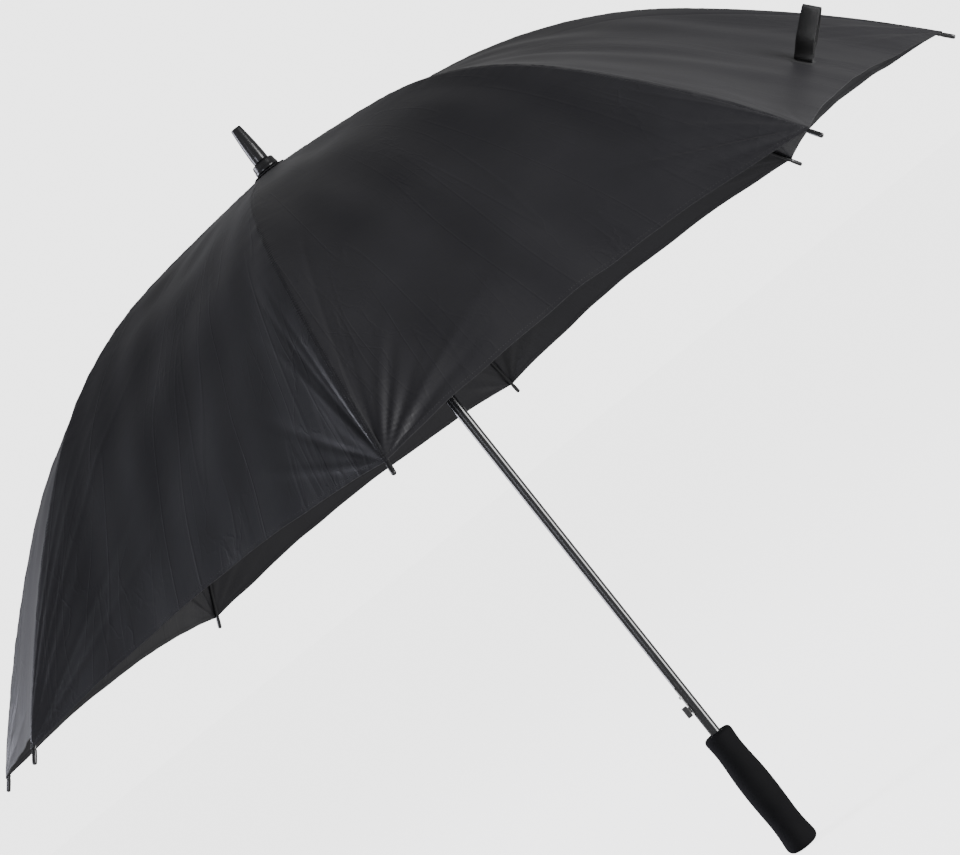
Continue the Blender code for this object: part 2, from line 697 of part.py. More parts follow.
def make_strap():
    spot, outward, downhill, sideways = strap_place()
    ground = PATCH_LIFT + PATCH_THICKNESS + GAP
    outer, inner = loop_outline(0.0), loop_outline(STRAP_THICKNESS)
    count = len(outer)
    shape = bmesh.new()
    rings = []
    for outline in (outer, inner):
        for side in (-0.5, 0.5):
            rings.append([shape.verts.new(spot + sideways * u + outward * (v + ground)
                                          + downhill * (side * STRAP_WIDTH))
                          for u, v in outline])
    for i in range(count):
        j = (i + 1) % count
        shape.faces.new((rings[0][i], rings[0][j], rings[1][j], rings[1][i]))
        shape.faces.new((rings[2][i], rings[3][i], rings[3][j], rings[2][j]))
        shape.faces.new((rings[0][i], rings[2][i], rings[2][j], rings[0][j]))
        shape.faces.new((rings[1][i], rings[1][j], rings[3][j], rings[3][i]))
    bmesh.ops.recalc_face_normals(shape, faces=shape.faces)
    mesh = bpy.data.meshes.new("closure_strap")
    shape.to_mesh(mesh)
    shape.free()
    smooth(mesh)
    add_piece("closure_strap", mesh, WEBBING)
    # The sewn patch under the band, on the fabric's outer face.
    patch_half = 0.011
    patch_place = Matrix((downhill, sideways, outward)).transposed().to_4x4()
    patch_place.translation = spot + outward * (PATCH_LIFT + PATCH_THICKNESS / 2)

    def patch(shape):
        size = Matrix.Diagonal((2 * patch_half, 1.6 * patch_half, PATCH_THICKNESS, 1))
        bmesh.ops.create_cube(shape, size=1.0, matrix=patch_place @ size)

    add_piece("strap_patch", mesh_from("strap_patch", patch), WEBBING)


def main():
    make_shaft()
    make_top()
    make_crown()
    make_runner()
    make_spring()
    make_slider()
    make_release()
    make_handle()
    make_frame()
    make_canopy()
    make_strap()


main()
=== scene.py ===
# %% [markdown]
# # An open golf umbrella
# The frame that folds (shaft, notch, runner, ribs, stretchers) comes from an engineering model
# that already has its sizes and its joints. This lesson dresses it: cloth, foam, paint and
# plastic. Everything is in metres, with +Z along the shaft, from the grip up to the ferrule.

# %% Load the fixed frame
import math
import random

import bmesh
import bpy
import numpy as np
from mathutils import Matrix, Vector, noise


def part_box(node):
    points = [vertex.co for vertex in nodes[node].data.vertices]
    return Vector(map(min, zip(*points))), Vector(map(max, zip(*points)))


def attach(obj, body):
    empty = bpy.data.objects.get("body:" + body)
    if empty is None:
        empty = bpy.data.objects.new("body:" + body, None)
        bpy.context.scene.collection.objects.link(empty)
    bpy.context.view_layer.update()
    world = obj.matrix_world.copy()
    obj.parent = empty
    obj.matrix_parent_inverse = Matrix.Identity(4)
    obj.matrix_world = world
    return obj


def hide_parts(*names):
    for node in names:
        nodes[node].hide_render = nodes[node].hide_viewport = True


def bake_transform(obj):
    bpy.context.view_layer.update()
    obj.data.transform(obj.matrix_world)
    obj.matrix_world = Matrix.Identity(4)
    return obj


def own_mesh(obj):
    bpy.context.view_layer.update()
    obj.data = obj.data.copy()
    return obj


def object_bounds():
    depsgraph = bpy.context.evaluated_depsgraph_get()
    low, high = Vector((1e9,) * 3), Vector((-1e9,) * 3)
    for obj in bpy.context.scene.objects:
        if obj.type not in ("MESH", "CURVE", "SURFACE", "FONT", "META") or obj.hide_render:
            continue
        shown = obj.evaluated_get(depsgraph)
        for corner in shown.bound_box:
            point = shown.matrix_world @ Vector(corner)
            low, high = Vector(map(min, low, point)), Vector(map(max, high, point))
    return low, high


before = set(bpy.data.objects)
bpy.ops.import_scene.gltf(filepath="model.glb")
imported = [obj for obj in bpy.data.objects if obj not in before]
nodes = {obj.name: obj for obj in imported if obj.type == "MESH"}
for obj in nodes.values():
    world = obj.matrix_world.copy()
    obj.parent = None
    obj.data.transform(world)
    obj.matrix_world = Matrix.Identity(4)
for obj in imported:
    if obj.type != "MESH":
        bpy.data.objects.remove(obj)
cad_low, cad_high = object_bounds()

# %% [markdown]
# ## The numbers that everything hangs on
# An umbrella is eight copies of one rib and one gore, so a few measures give the rest. Heights
# and radii are read from the frame's own boxes. The bend of a rib is three arcs that run on
# into each other: nearly flat at the crown, quick over the shoulder, steady down to the tip.

# %% Measures
RIB_COUNT = 8
RIB_STEP = 2 * math.pi / RIB_COUNT
HALF_STEP = RIB_STEP / 2
RIB_LENGTH = 0.762
RIB_START_SLOPE = 7.2
RIB_ARCS = ((0.28, 11.0), (0.62, 39.2), (1.0, 49.8))
RIB_RADIUS = 0.0019
BEND_SHARE = 0.4385

wire_low, wire_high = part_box("crown_wire")
CROWN_Z = (wire_low.z + wire_high.z) / 2
HINGE_RADIUS = wire_high.x - (wire_high.z - wire_low.z) / 2
print("crown wire at height", round(CROWN_Z, 4), "radius", round(HINGE_RADIUS, 4))


def rib_slope(share):
    """Slope of a rib below the horizontal, in radians, at a share of its length."""
    start_share, start_slope = 0.0, RIB_START_SLOPE
    for end_share, end_slope in RIB_ARCS:
        if share <= end_share:
            break
        start_share, start_slope = end_share, end_slope
    part = (share - start_share) / (end_share - start_share)
    return math.radians(start_slope + (end_slope - start_slope) * part)


def rib_point(share):
    """(radius, height) of a rib's centre line at a share of its length."""
    radius, height = HINGE_RADIUS, CROWN_Z
    start_share, start = 0.0, math.radians(RIB_START_SLOPE)
    for end_share, end_slope in RIB_ARCS:
        stop_share = min(share, end_share)
        stop = rib_slope(stop_share)
        length = (stop_share - start_share) * RIB_LENGTH
        if length > 0:
            radius += length * (math.sin(stop) - math.sin(start)) / (stop - start)
            height -= length * (math.cos(start) - math.cos(stop)) / (stop - start)
        if share <= end_share:
            break
        start_share, start = end_share, stop
    return radius, height


RIM_RADIUS, RIM_Z = rib_point(1.0)
print("rib tips at radius", round(RIM_RADIUS, 4), "height", round(RIM_Z, 4))

# %% [markdown]
# ## Finding points by azimuth
# Ribs and gores are numbered from 1, clockwise seen from above, starting at +X. A rib sits on
# its azimuth, and a gore is centred half a step further on. One turn matrix takes a shape that
# was made along +X to its own place.

# %% Turning helpers
def rib_azimuth(number):
    return -(number - 1) * RIB_STEP


def gore_azimuth(number):
    return -(number - 0.5) * RIB_STEP


def turned_to(azimuth, point):
    """A point of a shape made along +X, turned about the shaft to an azimuth."""
    return Matrix.Rotation(azimuth, 3, "Z") @ Vector(point)


print("rib 1 tip", [round(v, 3) for v in turned_to(rib_azimuth(1), (RIM_RADIUS, 0, RIM_Z))])

# %% [markdown]
# ## Small makers
# Most hard parts of an umbrella are turned or drawn: a lathe shape or a round rod. Two makers
# cover them. Both build the surface in bmesh with plenty of steps, so edges look round close up.

# %% Makers for meshes
def new_piece(name, mesh, material):
    piece = bpy.data.objects.new(name, mesh)
    bpy.context.scene.collection.objects.link(piece)
    mesh.materials.append(material)
    return piece


def as_mesh(shape, name):
    """The mesh of a finished bmesh, smooth all over."""
    mesh = bpy.data.meshes.new(name)
    shape.to_mesh(mesh)
    shape.free()
    mesh.shade_smooth()
    return mesh


def as_solid(shape, name, material, sharp):
    """A piece from a finished bmesh. Edges that turn more than the sharp angle stay crisp."""
    bmesh.ops.recalc_face_normals(shape, faces=shape.faces)
    mesh = as_mesh(shape, name)
    mesh.set_sharp_from_angle(angle=math.radians(sharp))
    return new_piece(name, mesh, material)


def circle(steps):
    """(cosine, sine) at equal steps round a circle."""
    turns = [2 * math.pi * i / steps for i in range(steps)]
    return [(math.cos(turn), math.sin(turn)) for turn in turns]


def lathe(name, outline, material, steps=64):
    """A turned piece from (radius, height) points. Radius 0 closes it on the axis."""
    shape = bmesh.new()
    rings = [[shape.verts.new((0, 0, height))] if radius <= 0 else
             [shape.verts.new((radius * x, radius * y, height)) for x, y in circle(steps)]
             for radius, height in outline]
    for upper, lower in zip(rings, rings[1:] + (rings[:1] if outline[0][0] > 0 else [])):
        for i in range(steps):
            j = (i + 1) % steps
            corners = [upper[i % len(upper)], lower[i % len(lower)],
                       lower[j % len(lower)], upper[j % len(upper)]]
            unique = list(dict.fromkeys(corners))
            if len(unique) > 2:
                shape.faces.new(unique)
    return as_solid(shape, name, material, 40)


def rounded(points, radius, steps=4):
    """An outline with its inner corners rounded by short arcs."""
    made = [points[0]]
    for before, corner, after in zip(points, points[1:], points[2:]):
        a, c, b = Vector(before), Vector(corner), Vector(after)
        reach = min(radius, (a - c).length * 0.45, (b - c).length * 0.45)
        start, stop = c + (a - c).normalized() * reach, c + (b - c).normalized() * reach
        for i in range(steps + 1):
            t = i / steps
            made.append(tuple(start * (1 - t) ** 2 + c * 2 * t * (1 - t) + stop * t ** 2))
    made.append(points[-1])
    return made


def rod(name, points, radii, material, sides=16):
    """A round rod along points in the XZ plane, with its own radius at each point."""
    shape = bmesh.new()
    rings = []
    for i, (point, radius) in enumerate(zip(points, radii)):
        before, after = points[max(i - 1, 0)], points[min(i + 1, len(points) - 1)]
        along = (Vector(after) - Vector(before)).normalized()
        across = Vector((0, 1, 0))
        up = along.cross(across)
        rings.append([shape.verts.new(Vector(point) + radius * (across * x + up * y))
                      for x, y in circle(sides)])
    for one, two in zip(rings, rings[1:]):
        for j in range(sides):
            shape.faces.new((one[j], one[(j + 1) % sides], two[(j + 1) % sides], two[j]))
    shape.faces.new(rings[0])
    shape.faces.new(rings[-1])
    return as_solid(shape, name, material, 50)


print("makers ready: lathe, rounded, rod")

# %% [markdown]
# ## Node helpers
# A material is a small chain of nodes. Noise gives the unevenness that makes a surface look
# handled, a bump gives relief too fine for geometry. Whatever is the same all over is set on
# the shader itself.

# %% Helpers for materials
def new_material(name, colour, roughness, metallic=0.0):
    made = bpy.data.materials.new(name)
    made.use_nodes = True
    shader = made.node_tree.nodes["Principled BSDF"]
    shader.inputs["Base Color"].default_value = (*colour, 1)
    shader.inputs["Roughness"].default_value = roughness
    shader.inputs["Metallic"].default_value = metallic
    return made, made.node_tree, shader


def add_node(tree, kind, **values):
    """A node with its settings and its unlinked sockets filled in by name."""
    node = tree.nodes.new(kind)
    for key, value in values.items():
        if hasattr(node, key):
            setattr(node, key, value)
        else:
            node.inputs[key.replace("_", " ")].default_value = value
    return node


def stretched(tree, source, scale):
    """Coordinates scaled along each axis."""
    made = add_node(tree, "ShaderNodeMapping", Scale=scale)
    tree.links.new(source, made.inputs["Vector"])
    return made.outputs["Vector"]


def noise_value(tree, source, scale, detail=3.0):
    """A noise factor of 0 to 1 on stretched coordinates."""
    made = add_node(tree, "ShaderNodeTexNoise", Scale=1.0, Detail=detail)
    tree.links.new(stretched(tree, source, scale), made.inputs["Vector"])
    return made.outputs["Fac"]


def ramp(tree, source, stops):
    """A colour ramp from (position, colour) stops."""
    made = tree.nodes.new("ShaderNodeValToRGB")
    while len(made.color_ramp.elements) < len(stops):
        made.color_ramp.elements.new(0.5)
    for element, (position, colour) in zip(made.color_ramp.elements, stops):
        element.position = position
        element.color = (*colour, 1)
    tree.links.new(source, made.inputs["Fac"])
    return made.outputs["Color"]


def toned(tree, shader, source, stops):
    """Lets a factor choose the colour."""
    tree.links.new(ramp(tree, source, stops), shader.inputs["Base Color"])


def roughened(tree, shader, source, low, high):
    """Lets a factor of 0 to 1 choose the roughness between two values."""
    made = add_node(tree, "ShaderNodeMapRange", To_Min=low, To_Max=high)
    tree.links.new(source, made.inputs["Value"])
    tree.links.new(made.outputs["Result"], shader.inputs["Roughness"])


def maths(tree, operation, first, second=0.0):
    """A maths node. Each value is a socket or a number."""
    made = add_node(tree, "ShaderNodeMath", operation=operation)
    for slot, value in zip(made.inputs, (first, second)):
        if isinstance(value, (int, float)):
            slot.default_value = value
        else:
            tree.links.new(value, slot)
    return made.outputs["Value"]


def above(tree, value, floor):
    """By how much a value is over a floor, and 0 below it."""
    return maths(tree, "MAXIMUM", maths(tree, "SUBTRACT", value, floor))


def peak(tree, value, middle, width):
    """1 where a value passes the middle, falling to 0 at a width to either side."""
    off = maths(tree, "ABSOLUTE", maths(tree, "SUBTRACT", value, middle))
    return above(tree, 1.0, maths(tree, "DIVIDE", off, width))


def wave(tree, along, pitch):
    return maths(tree, "SINE", maths(tree, "MULTIPLY", along, 2 * math.pi / pitch))


def bumped(tree, shader, height, distance, strength=1.0, after=None):
    """Feeds a height to the shader's normal, on top of an earlier bump if there is one."""
    made = add_node(tree, "ShaderNodeBump", Strength=strength, Distance=distance)
    tree.links.new(height, made.inputs["Height"])
    if after is not None:
        tree.links.new(after, made.inputs["Normal"])
    tree.links.new(made.outputs["Normal"], shader.inputs["Normal"])
    return made.outputs["Normal"]


def place(tree, kind="Object"):
    return tree.nodes.new("ShaderNodeTexCoord").outputs[kind]


print("material helpers ready")

# %% [markdown]
# ## Canopy cloth
# The cloth is a tightly woven polyester, dyed black with a trace of blue. The weave is far finer
# than a millimetre, so it shows as a soft lift of light at low angles, a faint grain in two
# directions and slight changes of tone. The mesh carries three layouts: the flat panel in
# metres, the panel's own across and along, and the distances to its seam and to its hem. So
# grain, creases and stitches all follow the cloth.

# %% Cloth: tone and weave
CLOTH_DARK = (0.0150, 0.0147, 0.0170)
CLOTH_LIGHT = (0.0225, 0.0220, 0.0245)
WEAVE_PITCH = 0.0009
WEAVE_HEIGHT = 0.00010

cloth, tree, shader = new_material("canopy_cloth", CLOTH_DARK, 0.5)


def layout(tree, name):
    made = tree.nodes.new("ShaderNodeUVMap")
    made.uv_map = name
    return made.outputs["UV"]


def part_of(tree, vector, axis):
    made = tree.nodes.new("ShaderNodeSeparateXYZ")
    tree.links.new(vector, made.inputs["Vector"])
    return made.outputs[axis]


flat = layout(tree, "Flat")
cloudy = noise_value(tree, flat, (5, 5, 5), 6.0)
toned(tree, shader, cloudy, [(0.3, CLOTH_DARK), (0.72, CLOTH_LIGHT)])
roughened(tree, shader, cloudy, 0.42, 0.58)
across_threads, along_threads = 0.7 / WEAVE_PITCH, 25
warp = noise_value(tree, flat, (across_threads, along_threads, 1), 1.0)
weft = noise_value(tree, flat, (along_threads, across_threads, 1), 1.0)
relief = bumped(tree, shader, maths(tree, "ADD", warp, weft), WEAVE_HEIGHT, 0.35)
shader.inputs["Sheen Weight"].default_value = 0.02
shader.inputs["Sheen Roughness"].default_value = 0.4
shader.inputs["Specular IOR Level"].default_value = 0.30
print("cloth so far:", len(tree.nodes), "nodes")

# %% Cloth: long creases and small crinkles
CREASE_HEIGHT = 0.0011
CRINKLE_HEIGHT = 0.0016
LONG_STRENGTH = 0.24
PATCHY_STRENGTH = 1.1
NOISE_MIDDLE = 0.5

panel = layout(tree, "Panel")
patchy = above(tree, noise_value(tree, flat, (7, 4, 1), 2.0), 0.42)
long_creases, fine_creases, crinkles = (
    peak(tree, noise_value(tree, source, scale, detail), NOISE_MIDDLE, width)
    for source, scale, detail, width in ((panel, (3.4, 1.0, 1), 1.0, 0.012),
                                         (panel, (7.0, 2.2, 1), 1.5, 0.016),
                                         (flat, (16, 9, 1), 4.0, 0.018)))
creased = maths(tree, "ADD", maths(tree, "MULTIPLY", long_creases, LONG_STRENGTH),
                maths(tree, "MULTIPLY", maths(tree, "ADD", fine_creases, crinkles),
                      maths(tree, "MULTIPLY", patchy, PATCHY_STRENGTH)))
relief = bumped(tree, shader, creased, CREASE_HEIGHT, 0.55, relief)
relief = bumped(tree, shader, noise_value(tree, flat, (26, 26, 1), 5.0), CRINKLE_HEIGHT, 0.30,
                relief)
print("cloth with creases:", len(tree.nodes), "nodes")

# %% Cloth: seam puckers and stitches
PUCKER_PITCH = 0.0042
PUCKER_REACH = 0.0034
PUCKER_HEIGHT = 0.0014
STITCH_PITCH = 0.0030
STITCH_HALF = 0.00035
STITCH_HEIGHT = 0.0004
HEM_STITCH = 0.0048
SEAM_STITCH = 0.0020

edges = layout(tree, "Edges")
to_seam, to_hem = part_of(tree, edges, "X"), part_of(tree, edges, "Y")
run = part_of(tree, flat, "Y")
uneven = maths(tree, "MULTIPLY", noise_value(tree, flat, (20, 20, 1), 2.0), 9.0)
pucker = maths(tree, "SINE", maths(tree, "ADD", maths(
    tree, "MULTIPLY", run, 2 * math.pi / PUCKER_PITCH), uneven))
near_seam = maths(tree, "EXPONENT", maths(tree, "MULTIPLY", to_seam, -1 / PUCKER_REACH))
drawn = above(tree, noise_value(tree, flat, (1, 9, 1), 2.0), 0.40)
relief = bumped(tree, shader, maths(tree, "MULTIPLY", maths(tree, "MULTIPLY", pucker, near_seam),
                                    drawn), PUCKER_HEIGHT, 0.6, relief)


def stitch_row(tree, distance, offset, along):
    """A row of short dashes at an offset from an edge."""
    dash = maths(tree, "MAXIMUM", wave(tree, along, STITCH_PITCH))
    return maths(tree, "MULTIPLY", peak(tree, distance, offset, STITCH_HALF), dash)


stitches = maths(tree, "ADD", stitch_row(tree, to_seam, SEAM_STITCH, run),
                 stitch_row(tree, to_hem, HEM_STITCH, part_of(tree, flat, "X")))
bumped(tree, shader, stitches, STITCH_HEIGHT, 0.8, relief)
print("cloth with seams and stitches:", len(tree.nodes), "nodes")

# %% [markdown]
# ## The shape of a gore
# A gore is a long triangle of cloth between two ribs. Pulled along its seams it cannot dome
# out between them. It dips inward a little, like a saddle, and its hem curves up between the
# two corners. Two lines give the whole surface: a rib profile lifted to the underside of the
# cloth, and a sag that is greatest halfway across.

# %% Gore surface
CLOTH_THICKNESS = 0.0004
HUB_RADIUS = 0.0078
HUB_LIFT = 0.0042
RIB_LIFT = RIB_RADIUS + 0.0018
SAG = 0.03
HEM_SHARE = 0.981
HEM_SCALLOP = 0.042
SETTLE_SHARE = 0.05


def profile(share):
    """(radius, height, slope) of the cloth's underside along a rib."""
    slope = rib_slope(share)
    radius, height = rib_point(share)
    settle = min(share / SETTLE_SHARE, 1.0)
    lift = HUB_LIFT + (RIB_LIFT - HUB_LIFT) * settle
    return radius + lift * math.sin(slope) * settle, height + lift * math.cos(slope), slope


PROFILE_SHARES = np.linspace(0.0, 1.0, 1201)
PROFILE = np.array([profile(share) for share in PROFILE_SHARES])
PROFILE[0, 0] = HUB_RADIUS


def gore_base(share, across):
    """Points of a gore centred on +X, and its half width, for arrays of share and across."""
    radius, height, slope = (np.interp(share, PROFILE_SHARES, PROFILE[:, i]) for i in range(3))
    side = np.maximum(radius, HUB_RADIUS) * math.sin(HALF_STEP)
    sag = SAG * 2 * side * (1 - across ** 2)
    points = np.stack([np.maximum(radius, HUB_RADIUS) * math.cos(HALF_STEP) - sag * np.sin(slope),
                       side * across, height - sag * np.cos(slope)], axis=-1)
    return points, side


def hem_share(across):
    return HEM_SHARE - HEM_SCALLOP * (1 - across ** 2)


print("hem at a rib", HEM_SHARE, "and at mid gore", round(hem_share(0), 3), "of the rib")

# %% [markdown]
# ## Folds at the corners
# The whole hem of a gore pulls on its two corners, where it is tied to the rib tips. Soft
# folds fan out from there into the panel, and a few sharp creases run up beside the seam. How
# hard each corner is drawn differs from gore to gore. Every fold is a height over the flat
# panel, made from seeded numbers, so each run gives the same cloth.

# %% Fold heights
STRAP_SHARE = 0.858
STRAP_ACROSS = 0.18
CALM_RADIUS = 0.020
# (gore, end of the hem): (height of the soft folds, how many, sharp creases beside the seam)
CORNERS = {(1, 1): (0.8, 3, 1), (1, -1): (0.5, 2, 2), (2, 1): (1.3, 4, 1), (2, -1): (1.35, 6, 3),
           (3, 1): (0.6, 3, 4), (3, -1): (0.8, 3, 4), (4, 1): (0.9, 4, 2), (5, -1): (1.1, 5, 2)}
USUAL_CORNER = (0.9, 4, 2)
SOFT_HEIGHT = 0.0017
SHARP_HEIGHT = 0.0011
SOFT_POWER, SHARP_POWER = 2.0, 1.1
FAN_START, FAN_WIDTH = 14, 52
CREASE_START, CREASE_STEP = 3.2, 3.1
FOLD_START, FOLD_RISE = 0.004, 0.035
SOFT_SPREAD, SHARP_SPREAD = 0.038, 0.004
PUCKER_RELIEF = 0.00035
SEAM_DIP, SEAM_DIP_WIDTH = 0.0007, 0.0016
LONG_WAVES, CROSS_WAVES = 0.0010, 0.0007


def folds_at(number, end):
    """(angle from the seam, bend, length, width, height, sharpness) of one corner's folds."""
    pick = random.Random(number * 10 + end)
    strength, soft, sharp = CORNERS.get((number, end), USUAL_CORNER)
    folds = []
    for i in range(soft):
        angle = FAN_START + FAN_WIDTH * (i + 0.5) / soft + pick.uniform(-3, 3)
        folds.append((math.radians(angle), pick.uniform(-0.9, 0.9), pick.uniform(0.09, 0.17),
                      pick.uniform(0.0012, 0.0026),
                      strength * SOFT_HEIGHT * pick.uniform(0.6, 1) * (-1) ** i, SOFT_POWER))
    for i in range(sharp):
        angle = CREASE_START + CREASE_STEP * i + pick.uniform(-0.8, 0.8)
        folds.append((math.radians(angle), pick.uniform(-0.2, 0.2), pick.uniform(0.16, 0.34),
                      pick.uniform(0.0016, 0.0024), SHARP_HEIGHT * pick.choice((-1, 1)),
                      SHARP_POWER))
    return folds


def corner_height(below, inset, folds):
    """Height of one corner's folds at distances up the seam and in from it."""
    distance = np.hypot(below, inset) + 1e-6
    angle = np.arctan2(inset, below)
    start = np.clip((distance - FOLD_START) / FOLD_RISE, 0, 1)
    total = np.zeros_like(distance)
    for fold_angle, bend, length, width, height, power in folds:
        spread = width + (SOFT_SPREAD if power == SOFT_POWER else SHARP_SPREAD) * distance
        off = (angle - fold_angle - bend * distance) * distance / spread
        total += height * np.exp(-np.abs(off) ** power) * np.exp(-(distance / length) ** 3)
    return total * start


def ripple(x, y, seed, waves=14):
    """Smooth seeded unevenness, mostly between -1 and 1, about one hump to a unit."""
    pick = random.Random(seed)
    total = np.zeros(np.broadcast(x, y).shape)
    for _ in range(waves):
        heading, pace = pick.uniform(0, 2 * math.pi), pick.uniform(1.5, 5.0)
        total += np.sin(pace * (math.cos(heading) * x + math.sin(heading) * y)
                        + pick.uniform(0, 2 * math.pi))
    return total / waves ** 0.5


def stand_off(number, share, across, side):
    """How far the cloth stands off its smooth surface, in metres."""
    length = share * RIB_LENGTH
    height = np.zeros_like(length)
    for end in (-1, 1):
        inset = (1 - end * across) * side
        below = HEM_SHARE * RIB_LENGTH - length
        height += corner_height(below, inset, folds_at(number, end))
        pucker = ripple(length * 120, inset * 30, 300 + number * 2 + end)
        height += PUCKER_RELIEF * pucker * np.exp(-inset / 0.010) * np.clip(inset / 0.002, 0, 1)
        height -= SEAM_DIP * np.exp(-(inset / SEAM_DIP_WIDTH) ** 2)
    inset = (1 - np.abs(across)) * side
    height += LONG_WAVES * ripple(length * 11, across * 3.0, 40 + number) * (
        np.clip(inset / 0.06, 0, 1))
    height += CROSS_WAVES * ripple(across * side * 26, length * 6, 80 + number) * (
        np.clip(inset / 0.03, 0, 1))
    if number == 1:  # the sewn strap holds the cloth flat round its foot
        far = np.hypot((share - STRAP_SHARE) * RIB_LENGTH, (across - STRAP_ACROSS) * side)
        height *= 1 - np.exp(-(far / CALM_RADIUS) ** 4)
    return height


print("corner folds on gore 2:", [len(folds_at(2, end)) for end in (-1, 1)])

# %% [markdown]
# ## Cutting and hanging the gores
# Each gore is one fine grid, closer at its seams, where the puckers are, and at its hem, where
# the edge is rolled under and sewn. The grid is split where the frame bends, so each half
# can follow its own length of rib. Both halves share one row of points and one set of
# normals, so no line shows between them.

# %% The grid of one gore
UPPER_ROWS = 64
LOWER_ROWS = 96
COLUMNS = 132
HEM_FOLD = 0.0058
HEM_EDGE = 0.0012
HEM_EXTRA = 0.0007
HEM_ROWS = (0.0068, HEM_FOLD, 0.0050, 0.0040, 0.0020, 0.0007, 0.0)


def gore_grid(number):
    """Points, normals and layouts of a whole gore as arrays of rows by columns."""
    across = np.sin(np.linspace(-math.pi / 2, math.pi / 2, COLUMNS + 1))[None, :]
    top = np.linspace(0, BEND_SHARE, UPPER_ROWS + 1)[:, None] + 0 * across
    end = hem_share(across)
    last = end - (HEM_ROWS[0] + HEM_EDGE) / RIB_LENGTH
    low = BEND_SHARE + (last - BEND_SHARE) * np.linspace(0, 1, LOWER_ROWS + 1)[1:, None]
    hem = end - np.array(HEM_ROWS)[:, None] / RIB_LENGTH
    share = np.concatenate([top, low, hem])
    across = across + 0 * share
    points, side = gore_base(share, across)
    normals = grid_normals(points)
    points = points + normals * stand_off(number, share, across, side)[..., None]
    to_hem = (hem_share(across) - share) * RIB_LENGTH
    layouts = {"Flat": (across * side, share * RIB_LENGTH), "Panel": (across, share),
               "Edges": ((1 - np.abs(across)) * side, to_hem)}
    return points, grid_normals(points), to_hem, layouts


def grid_normals(points):
    """Outward unit normals of a grid, from its neighbouring points."""
    normals = np.cross(np.gradient(points, axis=0), np.gradient(points, axis=1))
    return normals / np.maximum(np.linalg.norm(normals, axis=-1, keepdims=True), 1e-12)


print("a gore's grid:", gore_grid(1)[0].shape[:2], "rows and columns")

# %% From grid to cloth
def cloth_piece(name, grid, rows, azimuth):
    """A closed sheet from some rows of a gore's grid, turned to its azimuth."""
    points, normals, to_hem, layouts = grid
    points, normals, to_hem = points[rows], normals[rows], to_hem[rows]
    body = CLOTH_THICKNESS + HEM_EXTRA * np.clip((HEM_FOLD - to_hem) / 0.0008, 0, 1)
    outer = points + normals * CLOTH_THICKNESS
    inner = outer - normals * body[..., None]
    count, wide = points.shape[:2]
    turn = np.array(Matrix.Rotation(azimuth, 3, "Z"))
    verts = np.concatenate([outer.reshape(-1, 3), inner.reshape(-1, 3)]) @ turn.T
    facing = np.concatenate([normals.reshape(-1, 3), -normals.reshape(-1, 3)]) @ turn.T
    index = np.arange(count * wide).reshape(count, wide)
    quads = np.stack([index[:-1, :-1], index[1:, :-1], index[1:, 1:], index[:-1, 1:]], -1)
    quads = quads.reshape(-1, 4)
    under = quads[:, ::-1] + count * wide
    ring = np.concatenate([index[0, :-1], index[:-1, -1], index[-1, :0:-1], index[:0:-1, 0]])
    after = np.roll(ring, -1)
    rim = np.stack([ring, after, after + count * wide, ring + count * wide], -1)
    faces = np.concatenate([quads, under, rim])
    mesh = bpy.data.meshes.new(name)
    mesh.from_pydata(verts.tolist(), [], faces.tolist())
    corners = faces.reshape(-1)
    for layer, (u, v) in layouts.items():
        flat = np.stack([u[rows].reshape(-1), v[rows].reshape(-1)], -1)
        mesh.uv_layers.new(name=layer).data.foreach_set(
            "uv", np.concatenate([flat, flat])[corners].reshape(-1).astype(np.float32))
    mesh.shade_smooth()
    by_corner = facing[corners]
    for start in range(4 * (len(faces) - len(rim)), len(corners), 4):
        one, two, three = (verts[corners[start + i]] for i in (0, 1, 2))
        rim_normal = np.cross(two - one, three - one)
        by_corner[start:start + 4] = rim_normal / max(np.linalg.norm(rim_normal), 1e-12)
    mesh.normals_split_custom_set(by_corner.tolist())
    return new_piece(name, mesh, cloth)


def flat_size(start, stop):
    """(width, length, area) of the flat cut between two shares of a gore."""
    shares = np.linspace(start, stop, 61)
    widths = 2 * gore_base(shares, np.zeros_like(shares))[1]
    long = (stop - start) * RIB_LENGTH
    return float(widths.max()), long, float(widths.mean() * long)


print("flat lower half:", [round(v, 3) for v in flat_size(BEND_SHARE, HEM_SHARE)])

# %% Hang all eight gores
HALVES = {"upper": (slice(0, UPPER_ROWS + 1), 0.0, BEND_SHARE),
          "lower": (slice(UPPER_ROWS, None), BEND_SHARE, HEM_SHARE - HEM_SCALLOP / 2)}


def flattens_with_gore(piece):
    """Gives a piece its own copy of its mesh."""
    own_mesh(piece)


for number in range(1, RIB_COUNT + 1):
    grid = gore_grid(number)
    for half, (rows, start, stop) in HALVES.items():
        piece = cloth_piece(f"gore_{half}_{number}", grid, rows, gore_azimuth(number))
        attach(piece, f"canopy_{half}_{number}")
        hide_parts(f"canopy_{half}_{number}")
        flattens_with_gore(piece)
print("gores hung:", RIB_COUNT, "with", grid[0].shape[0] * grid[0].shape[1] * 2, "points each")
